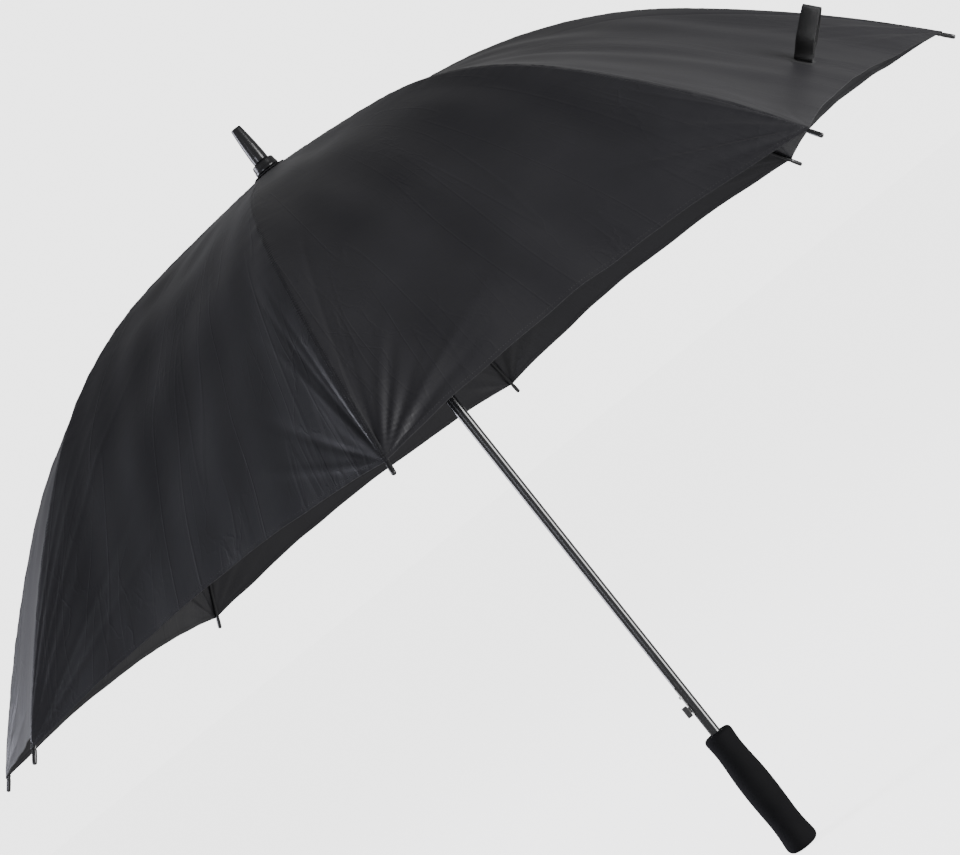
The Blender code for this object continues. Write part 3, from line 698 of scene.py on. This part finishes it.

# %% [markdown]
# ## Seam allowances
# Two gores are sewn face to face, and the spare cloth of the seam is turned to the inside and
# folded flat. Outside, only a fine line shows. Inside, a narrow doubled band runs down every
# rib, between the rod and the cloth. It crosses the point where the frame bends.

# %% Seam band maker
def skin(shape, layer, pairs, section, half_width):
    """Faces between pairs of (ring, distance along), laid out flat in metres."""
    for (one, run_one), (two, run_two) in pairs:
        for j in range(len(section)):
            k = (j + 1) % len(section)
            face = shape.faces.new((one[j], one[k], two[k], two[j]))
            spots = ((j, run_one), (k, run_one), (k, run_two), (j, run_two))
            for loop, (index, where) in zip(face.loops, spots):
                loop[layer].uv = (section[index][0] * half_width, where)


def strip(name, line, half_width, thickness, material):
    """A closed band with soft edges along (point, across, up) stations."""
    section = [(-1.0, 0.0), (-0.92, 0.7), (-0.55, 1.0), (0.0, 0.86), (0.55, 1.0), (0.92, 0.7),
               (1.0, 0.0)]
    shape = bmesh.new()
    layer = shape.loops.layers.uv.new("Flat")
    rings, run, last = [], 0.0, line[0][0]
    for point, across, up in line:
        run += (point - last).length
        last = point
        rings.append(([shape.verts.new(point + across * (half_width * a) + up * (thickness * b))
                       for a, b in section], run))
    skin(shape, layer, zip(rings, rings[1:]), section, half_width)
    for ring, _ in (rings[0], rings[-1]):
        shape.faces.new(ring)
    return as_solid(shape, name, material, 60)


def bend_ends(number, reach):
    """Two points on a rib's centre line, either side of the place where it bends."""
    (radius, height), slope = rib_point(BEND_SHARE), rib_slope(BEND_SHARE)
    return [turned_to(rib_azimuth(number), (radius + side * reach * math.cos(slope), 0,
                                            height - side * reach * math.sin(slope)))
            for side in (-1, 1)]


print("a rib bends", round(BEND_SHARE * RIB_LENGTH, 3), "m from the crown")

# %% Seam bands
SEAM_HALF = 0.0030
SEAM_BODY = 0.0006
SEAM_GAP = 0.0008
SEAM_START = 0.045
SEAM_STOP = HEM_SHARE - 0.012
ROW_OFFSET = 0.0014
SEAM_DARK, SEAM_THREAD = (0.014, 0.014, 0.016), (0.030, 0.030, 0.032)

seam_cloth, tree, shader = new_material("seam_cloth", SEAM_DARK, 0.6)
flat = layout(tree, "Flat")
along, aside = part_of(tree, flat, "Y"), part_of(tree, flat, "X")
rows = maths(tree, "ADD", stitch_row(tree, aside, ROW_OFFSET, along),
             stitch_row(tree, aside, -ROW_OFFSET, along))
toned(tree, shader, rows, [(0.0, SEAM_DARK), (1.0, SEAM_THREAD)])
relief = bumped(tree, shader, rows, STITCH_HEIGHT, 0.8)
bumped(tree, shader, noise_value(tree, flat, (500, 160, 1)), 0.0003, 0.4, relief)

for number in range(1, RIB_COUNT + 1):
    turn = Matrix.Rotation(rib_azimuth(number), 3, "Z")
    line = []
    for share in np.linspace(SEAM_START, SEAM_STOP, 150):
        radius, height, slope = profile(share)
        up = Vector((math.sin(slope), 0, math.cos(slope)))
        middle = Vector((radius, 0, height)) - up * (SEAM_BODY + SEAM_GAP)
        line.append((turn @ middle, turn @ Vector((0, 1, 0)), turn @ up))
    band = strip(f"seam_band_{number}", line, SEAM_HALF, SEAM_BODY, seam_cloth)
    start, end = bend_ends(number, 0.02)
    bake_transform(band)
print("seam bands:", RIB_COUNT, "each", round((SEAM_STOP - SEAM_START) * RIB_LENGTH, 3), "m long")

# %% [markdown]
# ## Hard materials
# The hard parts are all black, and they differ by gloss. Paint on the shaft is smooth with a
# clear top layer that gives a crisp streak of light. The ferrule and its collar are moulded
# plastic, softer at the highlight and lightly scuffed. The ribs are drawn fibreglass with
# faint lines along their length. Springs and wires are bare steel.

# %% Paint, plastic, fibreglass and steel
def hard_material(name, colour, roughness, spread, grain, relief, metallic=0.0, coat=0.0):
    """A hard surface whose roughness and tone wander a little, with fine relief."""
    made, tree, shader = new_material(name, colour, roughness, metallic)
    where = place(tree)
    wander = noise_value(tree, where, grain, 4.0)
    roughened(tree, shader, wander, roughness - spread, roughness + spread)
    lighter = tuple(min(1.0, 1.35 * c + 0.002) for c in colour)
    toned(tree, shader, noise_value(tree, where, (30, 30, 30)), [(0.35, colour), (0.8, lighter)])
    bumped(tree, shader, wander, relief, 0.5)
    shader.inputs["Specular IOR Level"].default_value = 0.28
    shader.inputs["Coat Weight"].default_value = coat
    shader.inputs["Coat Roughness"].default_value = 0.08
    return made


paint = hard_material("shaft_gloss_paint", (0.006, 0.006, 0.007), 0.13, 0.015,
                      (30, 30, 9), 0.00002, coat=1.0)
plastic = hard_material("moulded_black_plastic", (0.010, 0.010, 0.011), 0.28, 0.07,
                        (420, 420, 420), 0.00004, coat=0.25)
fibreglass = hard_material("rib_fibreglass_black", (0.014, 0.014, 0.015), 0.34, 0.08,
                           (900, 900, 40), 0.00004)
tip_metal = hard_material("rib_tip_black_metal", (0.022, 0.022, 0.023), 0.30, 0.07,
                          (700, 700, 700), 0.00004, metallic=0.35, coat=0.5)
coated_steel = hard_material("stretcher_coated_steel", (0.040, 0.040, 0.043), 0.36, 0.08,
                             (300, 300, 300), 0.00004, metallic=0.6)
bare_steel = hard_material("bare_spring_steel", (0.52, 0.52, 0.53), 0.26, 0.08,
                           (120, 120, 1200), 0.00003, metallic=1.0)
print("hard materials: paint, plastic, fibreglass, tip metal, coated steel, bare steel")

# %% Dress the frame's own parts
KEPT = {
    paint: ["shaft"],
    plastic: ["crown_notch", "runner", "runner_stop", "spring_seat", "handle_core",
              "release_button"],
    bare_steel: ["crown_wire", "runner_wire", "opening_spring", "spring_slider",
                 "release_lever"],
    coated_steel: [f"stretcher_{n}" for n in range(1, RIB_COUNT + 1)],
}
for material, names in KEPT.items():
    for name in names:
        mesh = nodes[name].data
        mesh.materials.clear()
        mesh.materials.append(material)
print("frame parts dressed:", sum(len(names) for names in KEPT.values()))

# %% [markdown]
# ## Ribs
# A rib is one springy rod from the crown to its tip. It bends where the stretcher props it;
# here it is one smooth rod. The crown end is pinched flat into an eye. A turned metal tip, with
# a small round head, closes the outer end and holds the corner of the cloth.

# %% Rib rods
ROD_START = 0.0056 / RIB_LENGTH
ROD_STOP = 0.978
ROD_STEPS = 72


def in_plane(share):
    radius, height = rib_point(share)
    return (radius, 0, height)


def to_azimuth(piece, azimuth):
    """Turns a piece that was made along +X to its place, in its mesh."""
    piece.data.transform(Matrix.Rotation(azimuth, 4, "Z"))
    return piece


shares = [ROD_START + (ROD_STOP - ROD_START) * i / ROD_STEPS for i in range(ROD_STEPS + 1)]
for number in range(1, RIB_COUNT + 1):
    piece = rod(f"rib_rod_{number}", [in_plane(s) for s in shares],
                [RIB_RADIUS] * len(shares), fibreglass)
    to_azimuth(piece, rib_azimuth(number))
    start, end = bend_ends(number, 0.015)
    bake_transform(piece)
    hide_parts(f"rib_outer_{number}")
print("rib rods:", RIB_COUNT, "of", round(RIB_LENGTH, 3), "m")

# %% [markdown]
# The clip is a small folded steel saddle that is pinched round the rod, with two ears
# below that hold the stretcher's pin. The eye at the crown is a short metal sleeve with a flat
# tongue, drilled for the wire. Both stay with the inner length of the rib.

# %% Rib clips, eyes and tips
CLIP_SHARE = 0.43
CLIP_DROP = 0.0060
# the clip's reach and the sleeve's span are shares of the rib, like CLIP_SHARE
CLIP_REACH = 0.0052
CLIP_RADII = (0.0020, 0.0024, *[0.0025] * 5, 0.0024, 0.0020)
EAR_RADIUS, EYE_RADIUS = 0.0026, 0.0021
TONGUE_HALF = 0.0009
TONGUE_LENGTH = 0.0100
SLEEVE_START = 0.0066
SLEEVE_SPAN = 0.018
SLEEVE_RADII = (0.0019, 0.0023, 0.0024, 0.0024, 0.0024, 0.0023, 0.0019)
TIP_RADIUS, TIP_ROUND = 0.0025, 0.0018


def plate(outline, half, material, name):
    """A flat plate with rounded edges, from its outline in the XZ plane."""
    shape = bmesh.new()
    face = shape.faces.new([shape.verts.new((x, -half, z)) for x, z in outline])
    grown = bmesh.ops.extrude_face_region(shape, geom=[face])
    for item in grown["geom"]:
        if isinstance(item, bmesh.types.BMVert):
            item.co.y = half
    bmesh.ops.recalc_face_normals(shape, faces=shape.faces)
    mesh = bpy.data.meshes.new(name)
    shape.to_mesh(mesh)
    shape.free()
    piece = new_piece(name, mesh, material)
    edge = piece.modifiers.new("edge", "BEVEL")
    edge.width = 0.25 * half
    edge.segments = 2
    edge.limit_method = "ANGLE"
    return piece


def stadium(start, end, radius, steps=8):
    """The outline round two points: two straight sides and two half circles."""
    a, b = Vector(start), Vector(end)
    heading = math.atan2((b - a).y, (b - a).x)
    points = []
    for centre, offset in ((b, -math.pi / 2), (a, math.pi / 2)):
        for i in range(steps + 1):
            angle = heading + offset + math.pi * i / steps
            points.append(tuple(centre + radius * Vector((math.cos(angle), math.sin(angle)))))
    return points


def tip_outline():
    """(distance along the rib, radius) of the tip, from its crimped mouth to its round end."""
    outline = [(-0.0192, 0.0019), (-0.0190, 0.0023), (-0.0175, 0.0024), (-0.0165, 0.0021),
               (-0.0150, 0.0021), (-0.0140, 0.0024), (-0.0120, TIP_RADIUS), (-0.0040, TIP_RADIUS)]
    for i in range(1, 7):
        turn = math.radians(15 * i)
        outline.append((-TIP_ROUND + TIP_ROUND * math.sin(turn),
                        TIP_RADIUS - TIP_ROUND * (1 - math.cos(turn))))
    return [(RIB_LENGTH + along, radius) for along, radius in outline]


clip_point, clip_slope = rib_point(CLIP_SHARE), rib_slope(CLIP_SHARE)
pin = (clip_point[0] - CLIP_DROP * math.sin(clip_slope),
       clip_point[1] - CLIP_DROP * math.cos(clip_slope))
eye_end = rib_point(TONGUE_LENGTH / RIB_LENGTH)
for number in range(1, RIB_COUNT + 1):
    ear = plate(stadium(clip_point, pin, EAR_RADIUS), TONGUE_HALF, coated_steel,
                f"rib_clip_ear_{number}")
    saddle = rod(f"rib_clip_{number}",
                 [in_plane(CLIP_SHARE + CLIP_REACH * t / 4) for t in range(-4, 5)],
                 CLIP_RADII, coated_steel)
    eye = plate(stadium((HINGE_RADIUS, CROWN_Z), eye_end, EYE_RADIUS), TONGUE_HALF,
                bare_steel, f"rib_eye_{number}")
    sleeve = rod(f"rib_sleeve_{number}",
                 [in_plane(SLEEVE_START / RIB_LENGTH + SLEEVE_SPAN * t / 6) for t in range(7)],
                 SLEEVE_RADII, bare_steel)
    tip = rod(f"rib_tip_{number}",
              [in_plane(min(d / RIB_LENGTH, 1.0)) for d, _ in tip_outline()],
              [r for _, r in tip_outline()], tip_metal, sides=20)
    for piece in (ear, saddle, eye, sleeve, tip):
        to_azimuth(piece, rib_azimuth(number))
        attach(piece, f"rib_outer_{number}" if piece is tip else f"rib_inner_{number}")
    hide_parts(f"rib_inner_{number}")
print("clips, eyes and tips:", 5 * RIB_COUNT, "pieces")

# %% [markdown]
# ## Ferrule, collar and rosette
# The ferrule is the long point above the canopy. Under it a wider collar clamps the cloth, and
# a round of the same cloth, the rosette, keeps water out of the hole. The first two are turned
# plastic. The rosette is soft: its edge waves a little and dips onto the seams.

# %% Top parts
ferrule_low, ferrule_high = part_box("ferrule")
collar_low, collar_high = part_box("ferrule_collar")
rosette_high, shaft_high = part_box("rosette")[1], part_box("shaft")[1]
GAP = 0.0003
AROUND_SHAFT = shaft_high.x + GAP


def below_top(distance):
    return ferrule_high.z - distance


ferrule = lathe("ferrule_point", [
    (0, below_top(0)),
    *rounded([(0.0020, below_top(0)), (0.0060, below_top(0)), (0.0067, below_top(0.0060)),
              (0.0073, below_top(0.0120)), (0.0083, below_top(0.0240)),
              (0.0091, below_top(0.0380)), (ferrule_high.x, ferrule_low.z + 0.0012),
              (ferrule_high.x - 0.0006, ferrule_low.z), (AROUND_SHAFT, ferrule_low.z)], 0.0011),
    (AROUND_SHAFT, shaft_high.z + GAP), (0, shaft_high.z + GAP)], plastic)
collar = lathe("ferrule_cup", rounded([
    (AROUND_SHAFT, collar_high.z), (0.0118, collar_high.z),
    (0.0131, collar_high.z - 0.0012), (0.0136, collar_high.z - 0.0060),
    (collar_high.x, collar_low.z + 0.0022), (collar_high.x, collar_low.z + 0.0008),
    (0.0136, collar_low.z), (AROUND_SHAFT, collar_low.z)], 0.0008), plastic)
for piece, node in ((ferrule, "ferrule"), (collar, "ferrule_collar")):
    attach(piece, "shaft")
    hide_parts(node)
print("ferrule", round(ferrule_high.z - ferrule_low.z, 4), "m long")

# %% Rosette
def rosette_sheet():
    """A round of cloth, close to the canopy, that waves over the eight seams."""
    rings, spokes = 14, 128
    shape = bmesh.new()
    layers = {name: shape.loops.layers.uv.new(name) for name in ("Flat", "Panel", "Edges")}
    rows = []
    for i in range(rings + 1):
        part = i / rings
        radius = AROUND_SHAFT + (rosette_high.x - AROUND_SHAFT) * part
        row = []
        for j, (x, y) in enumerate(circle(spokes)):
            rise = 0.00022 * math.cos(RIB_COUNT * 2 * math.pi * j / spokes) * part
            rise += 0.00016 * noise.noise((9 * x, 9 * y, part))
            edge = radius * (1 + 0.012 * part * noise.noise((5 * x, 5 * y, 4)))
            height = rosette_high.z - 0.0004 - 0.0011 * part ** 3 + rise
            row.append(shape.verts.new((edge * x, edge * y, height)))
        rows.append(row)
    for one, two in zip(rows, rows[1:]):
        for j in range(spokes):
            k = (j + 1) % spokes
            face = shape.faces.new((one[j], two[j], two[k], one[k]))
            for loop in face.loops:
                place_at = loop.vert.co.x, loop.vert.co.y
                inward = rosette_high.x - math.hypot(*place_at)
                loop[layers["Flat"]].uv = place_at
                loop[layers["Panel"]].uv = place_at
                loop[layers["Edges"]].uv = (inward + 0.01, inward)
    piece = new_piece("rosette_cloth", as_mesh(shape, "rosette_cloth"), cloth)
    shell = piece.modifiers.new("cloth", "SOLIDIFY")
    shell.thickness = 0.0006
    shell.offset = -1.0
    return piece


rosette = rosette_sheet()
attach(rosette, "shaft")
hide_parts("rosette")
print("rosette", round(2 * rosette_high.x, 4), "m across")

# %% [markdown]
# ## Grip
# The grip is closed-cell foam, ground to shape: a domed top, a slim neck for the forefinger, a
# full palm swell and a flared, domed end. A smooth curve through a few radii gives the
# profile, and a lathe turns it. Foam is matte, with a skin of tiny open cells.

# %% Foam material
FOAM_DARK, FOAM_LIGHT = (0.0028, 0.0028, 0.0034), (0.0055, 0.0054, 0.0062)
CELLS_PER_METRE = 1300

foam, tree, shader = new_material("grip_closed_cell_foam", FOAM_DARK, 0.86)
where = place(tree)
cells = add_node(tree, "ShaderNodeTexVoronoi", Scale=1.0)
tree.links.new(stretched(tree, where, (CELLS_PER_METRE,) * 3), cells.inputs["Vector"])
foam_bump = bumped(tree, shader, cells.outputs["Distance"], 0.0002, 0.55)
bumped(tree, shader, noise_value(tree, where, (160, 160, 160), 4.0), 0.0004, 0.35, foam_bump)
worn = noise_value(tree, where, (38, 38, 24), 4.0)
toned(tree, shader, worn, [(0.35, FOAM_DARK), (0.7, FOAM_LIGHT)])
roughened(tree, shader, worn, 0.78, 0.92)
shader.inputs["Specular IOR Level"].default_value = 0.14
print("foam:", len(tree.nodes), "nodes")

# %% Grip shape
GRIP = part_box("handle_grip")[1].z
GRIP_FLOOR = 0.012
TOP_RADIUS, TOP_ROUND, TOP_DEPTH = 0.0132, 0.0040, 0.0052
END_RADIUS, END_ROUND, END_DEPTH = 0.0121, 0.0070, 0.0076
# (height, radius) up the outside, after the domed end
GRIP_RADII = ((0.0130, 0.0188), (0.0230, 0.0178), (0.0350, 0.0173), (0.0490, 0.0177),
              (0.0655, 0.0183), (0.0820, 0.0185), (0.0985, 0.0181), (0.1150, 0.0170),
              (0.1310, 0.0162), (0.1420, 0.0166))


def smooth_line(stations, steps):
    """A Catmull-Rom line through (height, radius) stations."""
    ends = [stations[0], *stations, stations[-1]]
    line = []
    for a, b, c, d in zip(ends, ends[1:], ends[2:], ends[3:]):
        for i in range(steps):
            t = i / steps
            line.append(tuple(0.5 * (2 * q + (r - p) * t + (2 * p - 5 * q + 4 * r - s) * t * t
                                     + (3 * q - p - 3 * r + s) * t ** 3)
                              for p, q, r, s in zip(a, b, c, d)))
    return [*line, stations[-1]]


def grip_outline():
    """(radius, height) from the bore's mouth over the top, down the outside and in below."""
    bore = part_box("handle_core")[1].x + GAP
    outside = [(r, z) for z, r in reversed(smooth_line(GRIP_RADII, 7))]
    top = [(bore, GRIP - 0.0006), (bore + 0.0008, GRIP)]
    for i in range(7):
        angle = math.radians(90 - 15 * i)
        top.append((TOP_RADIUS + TOP_ROUND * math.cos(angle),
                    GRIP - TOP_DEPTH + TOP_DEPTH * math.sin(angle)))
    end = []
    for i in range(8):
        angle = math.radians(-12 * i)
        end.append((END_RADIUS + END_ROUND * math.cos(angle),
                    END_DEPTH + END_DEPTH * math.sin(angle)))
    return [*top, *outside, *end, (0.0105, 0.0), (0, 0.0), (0, GRIP_FLOOR), (bore, GRIP_FLOOR)]


outline = grip_outline()
start = outline.index((0, GRIP_FLOOR))
grip = lathe("foam_grip", outline[start:] + outline[:start], foam, steps=96)
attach(grip, "shaft")
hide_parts("handle_grip")
print("grip", round(GRIP, 4), "m long,", len(grip.data.vertices), "points")

# %% [markdown]
# ## Closure strap
# A hook-and-loop band is sewn across one gore, above the hem. With the umbrella open it is
# pressed shut on itself and stands off the cloth as a narrow loop. It is webbing, a little
# over a millimetre thick, with a bound edge and a coarser, fuzzier face than the cloth.

# %% Webbing material
THREAD = 0.0009
WEBBING_DARK, WEBBING_LIGHT = (0.003, 0.003, 0.004), (0.009, 0.009, 0.010)

webbing, tree, shader = new_material("strap_webbing_black", WEBBING_DARK, 0.55)
flat = layout(tree, "Flat")
weave = maths(tree, "MULTIPLY", wave(tree, part_of(tree, flat, "X"), THREAD),
              wave(tree, part_of(tree, flat, "Y"), 0.7 * THREAD))
fuzz = noise_value(tree, flat, (2400, 2400, 1))
web_bump = bumped(tree, shader, weave, 0.0002, 0.6)
bumped(tree, shader, fuzz, 0.0003, 0.5, web_bump)
toned(tree, shader, fuzz, [(0.3, WEBBING_DARK), (0.75, WEBBING_LIGHT)])
shader.inputs["Sheen Weight"].default_value = 0.08
print("webbing:", len(tree.nodes), "nodes")

# %% Strap shape
STRAP_WIDTH = 0.019
STRAP_HEIGHT = 0.057
STRAP_THICKNESS = 0.0013
LOOP_HALF = 0.0036
STRAP_LIFT = 0.0013
STRAP_BULGE = 0.0040


def strap_directions():
    """The strap's foot, and its outward, downhill and sideways directions."""
    step = 0.02
    spot, further, beside = (Vector(gore_base(np.array(share), np.array(across))[0])
                             for share, across in ((STRAP_SHARE, STRAP_ACROSS),
                                                   (STRAP_SHARE + step, STRAP_ACROSS),
                                                   (STRAP_SHARE, STRAP_ACROSS + step)))
    down, aside = (further - spot).normalized(), (beside - spot).normalized()
    out = down.cross(aside).normalized()
    turn = Matrix.Rotation(gore_azimuth(1), 3, "Z")
    return turn @ spot, turn @ out, turn @ down, turn @ out.cross(down)


def strap_centre_line():
    """(sideways, outward) points of the band's middle: foot, one side, round top, other side."""
    top = STRAP_HEIGHT - LOOP_HALF - STRAP_THICKNESS
    foot = LOOP_HALF + STRAP_THICKNESS
    half = LOOP_HALF + STRAP_THICKNESS / 2
    points = []
    for side, centre, goal in ((1, top, foot), (-1, foot, top)):
        for i in range(13):
            angle = math.pi * i / 12
            points.append((side * half * math.cos(angle), centre + side * half * math.sin(angle)))
        for i in range(1, 24):
            part = i / 24
            bulge = STRAP_BULGE * math.sin(math.pi * part) ** 1.5
            bulge += 0.0006 * math.sin(11 * part + side)
            points.append((-side * (half + bulge), centre + (goal - centre) * part))
    return points


def band_loop(name, centre_line, half_width, thickness, material):
    """A closed loop of webbing with softly rounded edges."""
    spot, out, down, aside = strap_directions()
    section = [(-1, -0.3), (-0.96, -0.5), (0.96, -0.5), (1, -0.3), (1, 0.3), (0.96, 0.5),
               (-0.96, 0.5), (-1, 0.3)]
    count = len(centre_line)
    shape = bmesh.new()
    layer = shape.loops.layers.uv.new("Flat")
    rings, run = [], [0.0]
    for i, (u, v) in enumerate(centre_line):
        before, after = Vector(centre_line[i - 1]), Vector(centre_line[(i + 1) % count])
        along = (after - before).normalized()
        normal = Vector((along.y, -along.x))
        ring = []
        for w, t in section:
            face = Vector((u, v)) + normal * (t * thickness)
            ring.append(shape.verts.new(spot + aside * face.x + out * (face.y + STRAP_LIFT)
                                        + down * (w * half_width)))
        rings.append(ring)
        run.append(run[-1] + (after - Vector((u, v))).length)
    pairs = zip(zip(rings, run), zip(rings[1:] + rings[:1], run[1:]))
    skin(shape, layer, pairs, section, half_width)
    return as_solid(shape, name, material, 50)


strap = band_loop("strap_band", strap_centre_line(), STRAP_WIDTH / 2, STRAP_THICKNESS, webbing)
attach(strap, "canopy_lower_1")
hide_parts("closure_strap")
flattens_with_gore(strap)
print("strap loop stands", round(STRAP_HEIGHT, 3), "m off the cloth")

# %% Strap patch
PATCH_LONG, PATCH_HALF, PATCH_BODY = 0.011, 0.0088, 0.0005


def patch_piece():
    """The square of webbing that is sewn to the cloth under the strap."""
    spot, out, down, aside = strap_directions()
    line = [(spot + down * (PATCH_LONG * part) + out * PATCH_BODY, aside, out)
            for part in (-1 + 2 * i / 12 for i in range(13))]
    return strip("strap_patch_sewn", line, PATCH_HALF, PATCH_BODY, webbing)


patch = patch_piece()
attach(patch, "canopy_lower_1")
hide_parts("strap_patch")
flattens_with_gore(patch)
print("patch sewn on gore 1")

# %% [markdown]
# ## Studio
# A pale floor and a pale surround frame a black object. The surround is a large dome that is
# bright to look at but gives no light of its own, so it can be nearly white without washing
# out the cloth. The floor is clear from below, so the ribs can be looked at from there. The
# light comes from an even, low surround and a few soft lamps: a long one draws the streak
# down the shaft, and one either side lifts the panels that face it.

# %% Floor and surround
FLOOR_DROP = 0.0005
DOME_RADIUS = 30.0
SURROUND_GLOW = 3.0


def pale_material(name, glow):
    """A pale matte surface that also glows, with a very faint cloudiness."""
    made, tree, shader = new_material(name, (0.86, 0.86, 0.86), 0.9)
    toned(tree, shader, noise_value(tree, place(tree), (0.6, 0.6, 0.6), 2.0),
          [(0.3, (0.855, 0.855, 0.855)), (0.7, (0.870, 0.870, 0.870))])
    shader.inputs["Emission Color"].default_value = (1, 1, 1, 1)
    shader.inputs["Emission Strength"].default_value = glow
    return made


floor_mesh = bpy.data.meshes.new("floor")
floor_mesh.from_pydata([(DOME_RADIUS * x, DOME_RADIUS * y, -FLOOR_DROP) for x, y in circle(64)],
                       [], [tuple(range(64))])
floor_look = pale_material("pale_floor", SURROUND_GLOW)
tree = floor_look.node_tree
lower_side = tree.nodes.new("ShaderNodeNewGeometry").outputs["Backfacing"]
clear = tree.nodes.new("ShaderNodeBsdfTransparent")
either = tree.nodes.new("ShaderNodeMixShader")
tree.links.new(lower_side, either.inputs[0])
tree.links.new(tree.nodes["Principled BSDF"].outputs[0], either.inputs[1])
tree.links.new(clear.outputs[0], either.inputs[2])
tree.links.new(either.outputs[0], tree.nodes["Material Output"].inputs["Surface"])
floor = new_piece("floor", floor_mesh, floor_look)
dome_shape = bmesh.new()
bmesh.ops.create_uvsphere(dome_shape, u_segments=64, v_segments=32, radius=DOME_RADIUS)
dome = new_piece("surround", as_mesh(dome_shape, "surround"),
                 pale_material("pale_surround", SURROUND_GLOW))
for backdrop in (floor, dome):
    backdrop.visible_diffuse = False
    backdrop.visible_glossy = False
    backdrop.visible_shadow = False

world = bpy.data.worlds.new("studio")
bpy.context.scene.world = world
world.use_nodes = True
sky = world.node_tree
height = part_of(sky, place(sky, "Generated"), "Z")
sky.links.new(ramp(sky, height, [(0.0, (1, 1, 1)), (0.35, (0.75, 0.75, 0.75)),
                                 (1.0, (0.16, 0.16, 0.17))]),
              sky.nodes["Background"].inputs["Color"])
sky.nodes["Background"].inputs["Strength"].default_value = 0.52
print("floor and surround", 2 * DOME_RADIUS, "m wide")

# %% Lights
def area_light(name, location, target, size, power, tint=(1, 1, 1)):
    light = bpy.data.lights.new(name, "AREA")
    light.shape = "RECTANGLE"
    light.size, light.size_y = size
    light.energy = power
    light.color = tint
    holder = bpy.data.objects.new(name, light)
    holder.location = location
    holder.rotation_mode = "QUATERNION"
    holder.rotation_quaternion = (Vector(target) - Vector(location)).to_track_quat("-Z", "Y")
    bpy.context.scene.collection.objects.link(holder)


middle = (cad_low + cad_high) / 2
COOL = (0.86, 0.87, 1.0)
area_light("streak_lamp", (2.45, -1.42, 0.45), (0, 0, 0.45), (1.1, 2.4), 125)
area_light("left_lamp", (-3.0, 0.6, 1.0), middle, (1.2, 2.4), 120, COOL)
area_light("front_lamp", (-1.7, -3.0, 0.7), middle, (0.8, 1.6), 42, (0.86, 0.88, 1.0))
print("three soft lamps round", [round(v, 2) for v in middle])

# %% [markdown]
# ## Camera
# A long lens from a few metres away, level with the rim of the canopy and rolled so that the
# umbrella lies across the picture, ferrule up to the left and grip down to the right.
# Distances are in rim radii, so the view follows the umbrella's size.

# %% Camera
VIEW_FORWARD = Vector((-0.1144, 0.9934, 0.0068)).normalized()
VIEW_ROLL = math.radians(38.5)
VIEW_LENS = 104.75
VIEW_PLACE = Vector((0.5334, -4.5532, -0.0458))

level_right = VIEW_FORWARD.cross(Vector((0, 0, 1))).normalized()
level_up = level_right.cross(VIEW_FORWARD)
right = level_right * math.cos(VIEW_ROLL) - level_up * math.sin(VIEW_ROLL)
up = right.cross(VIEW_FORWARD)
camera_data = bpy.data.cameras.new("camera")
camera_data.lens = VIEW_LENS
camera_data.sensor_width = 36
camera = bpy.data.objects.new("camera", camera_data)
facing = Matrix((right, up, -VIEW_FORWARD)).transposed().to_4x4()
facing.translation = VIEW_PLACE * RIM_RADIUS + Vector((0, 0, RIM_Z))
camera.matrix_world = facing
bpy.context.scene.collection.objects.link(camera)
bpy.context.scene.camera = camera
print("camera at", [round(v, 3) for v in camera.matrix_world.translation])
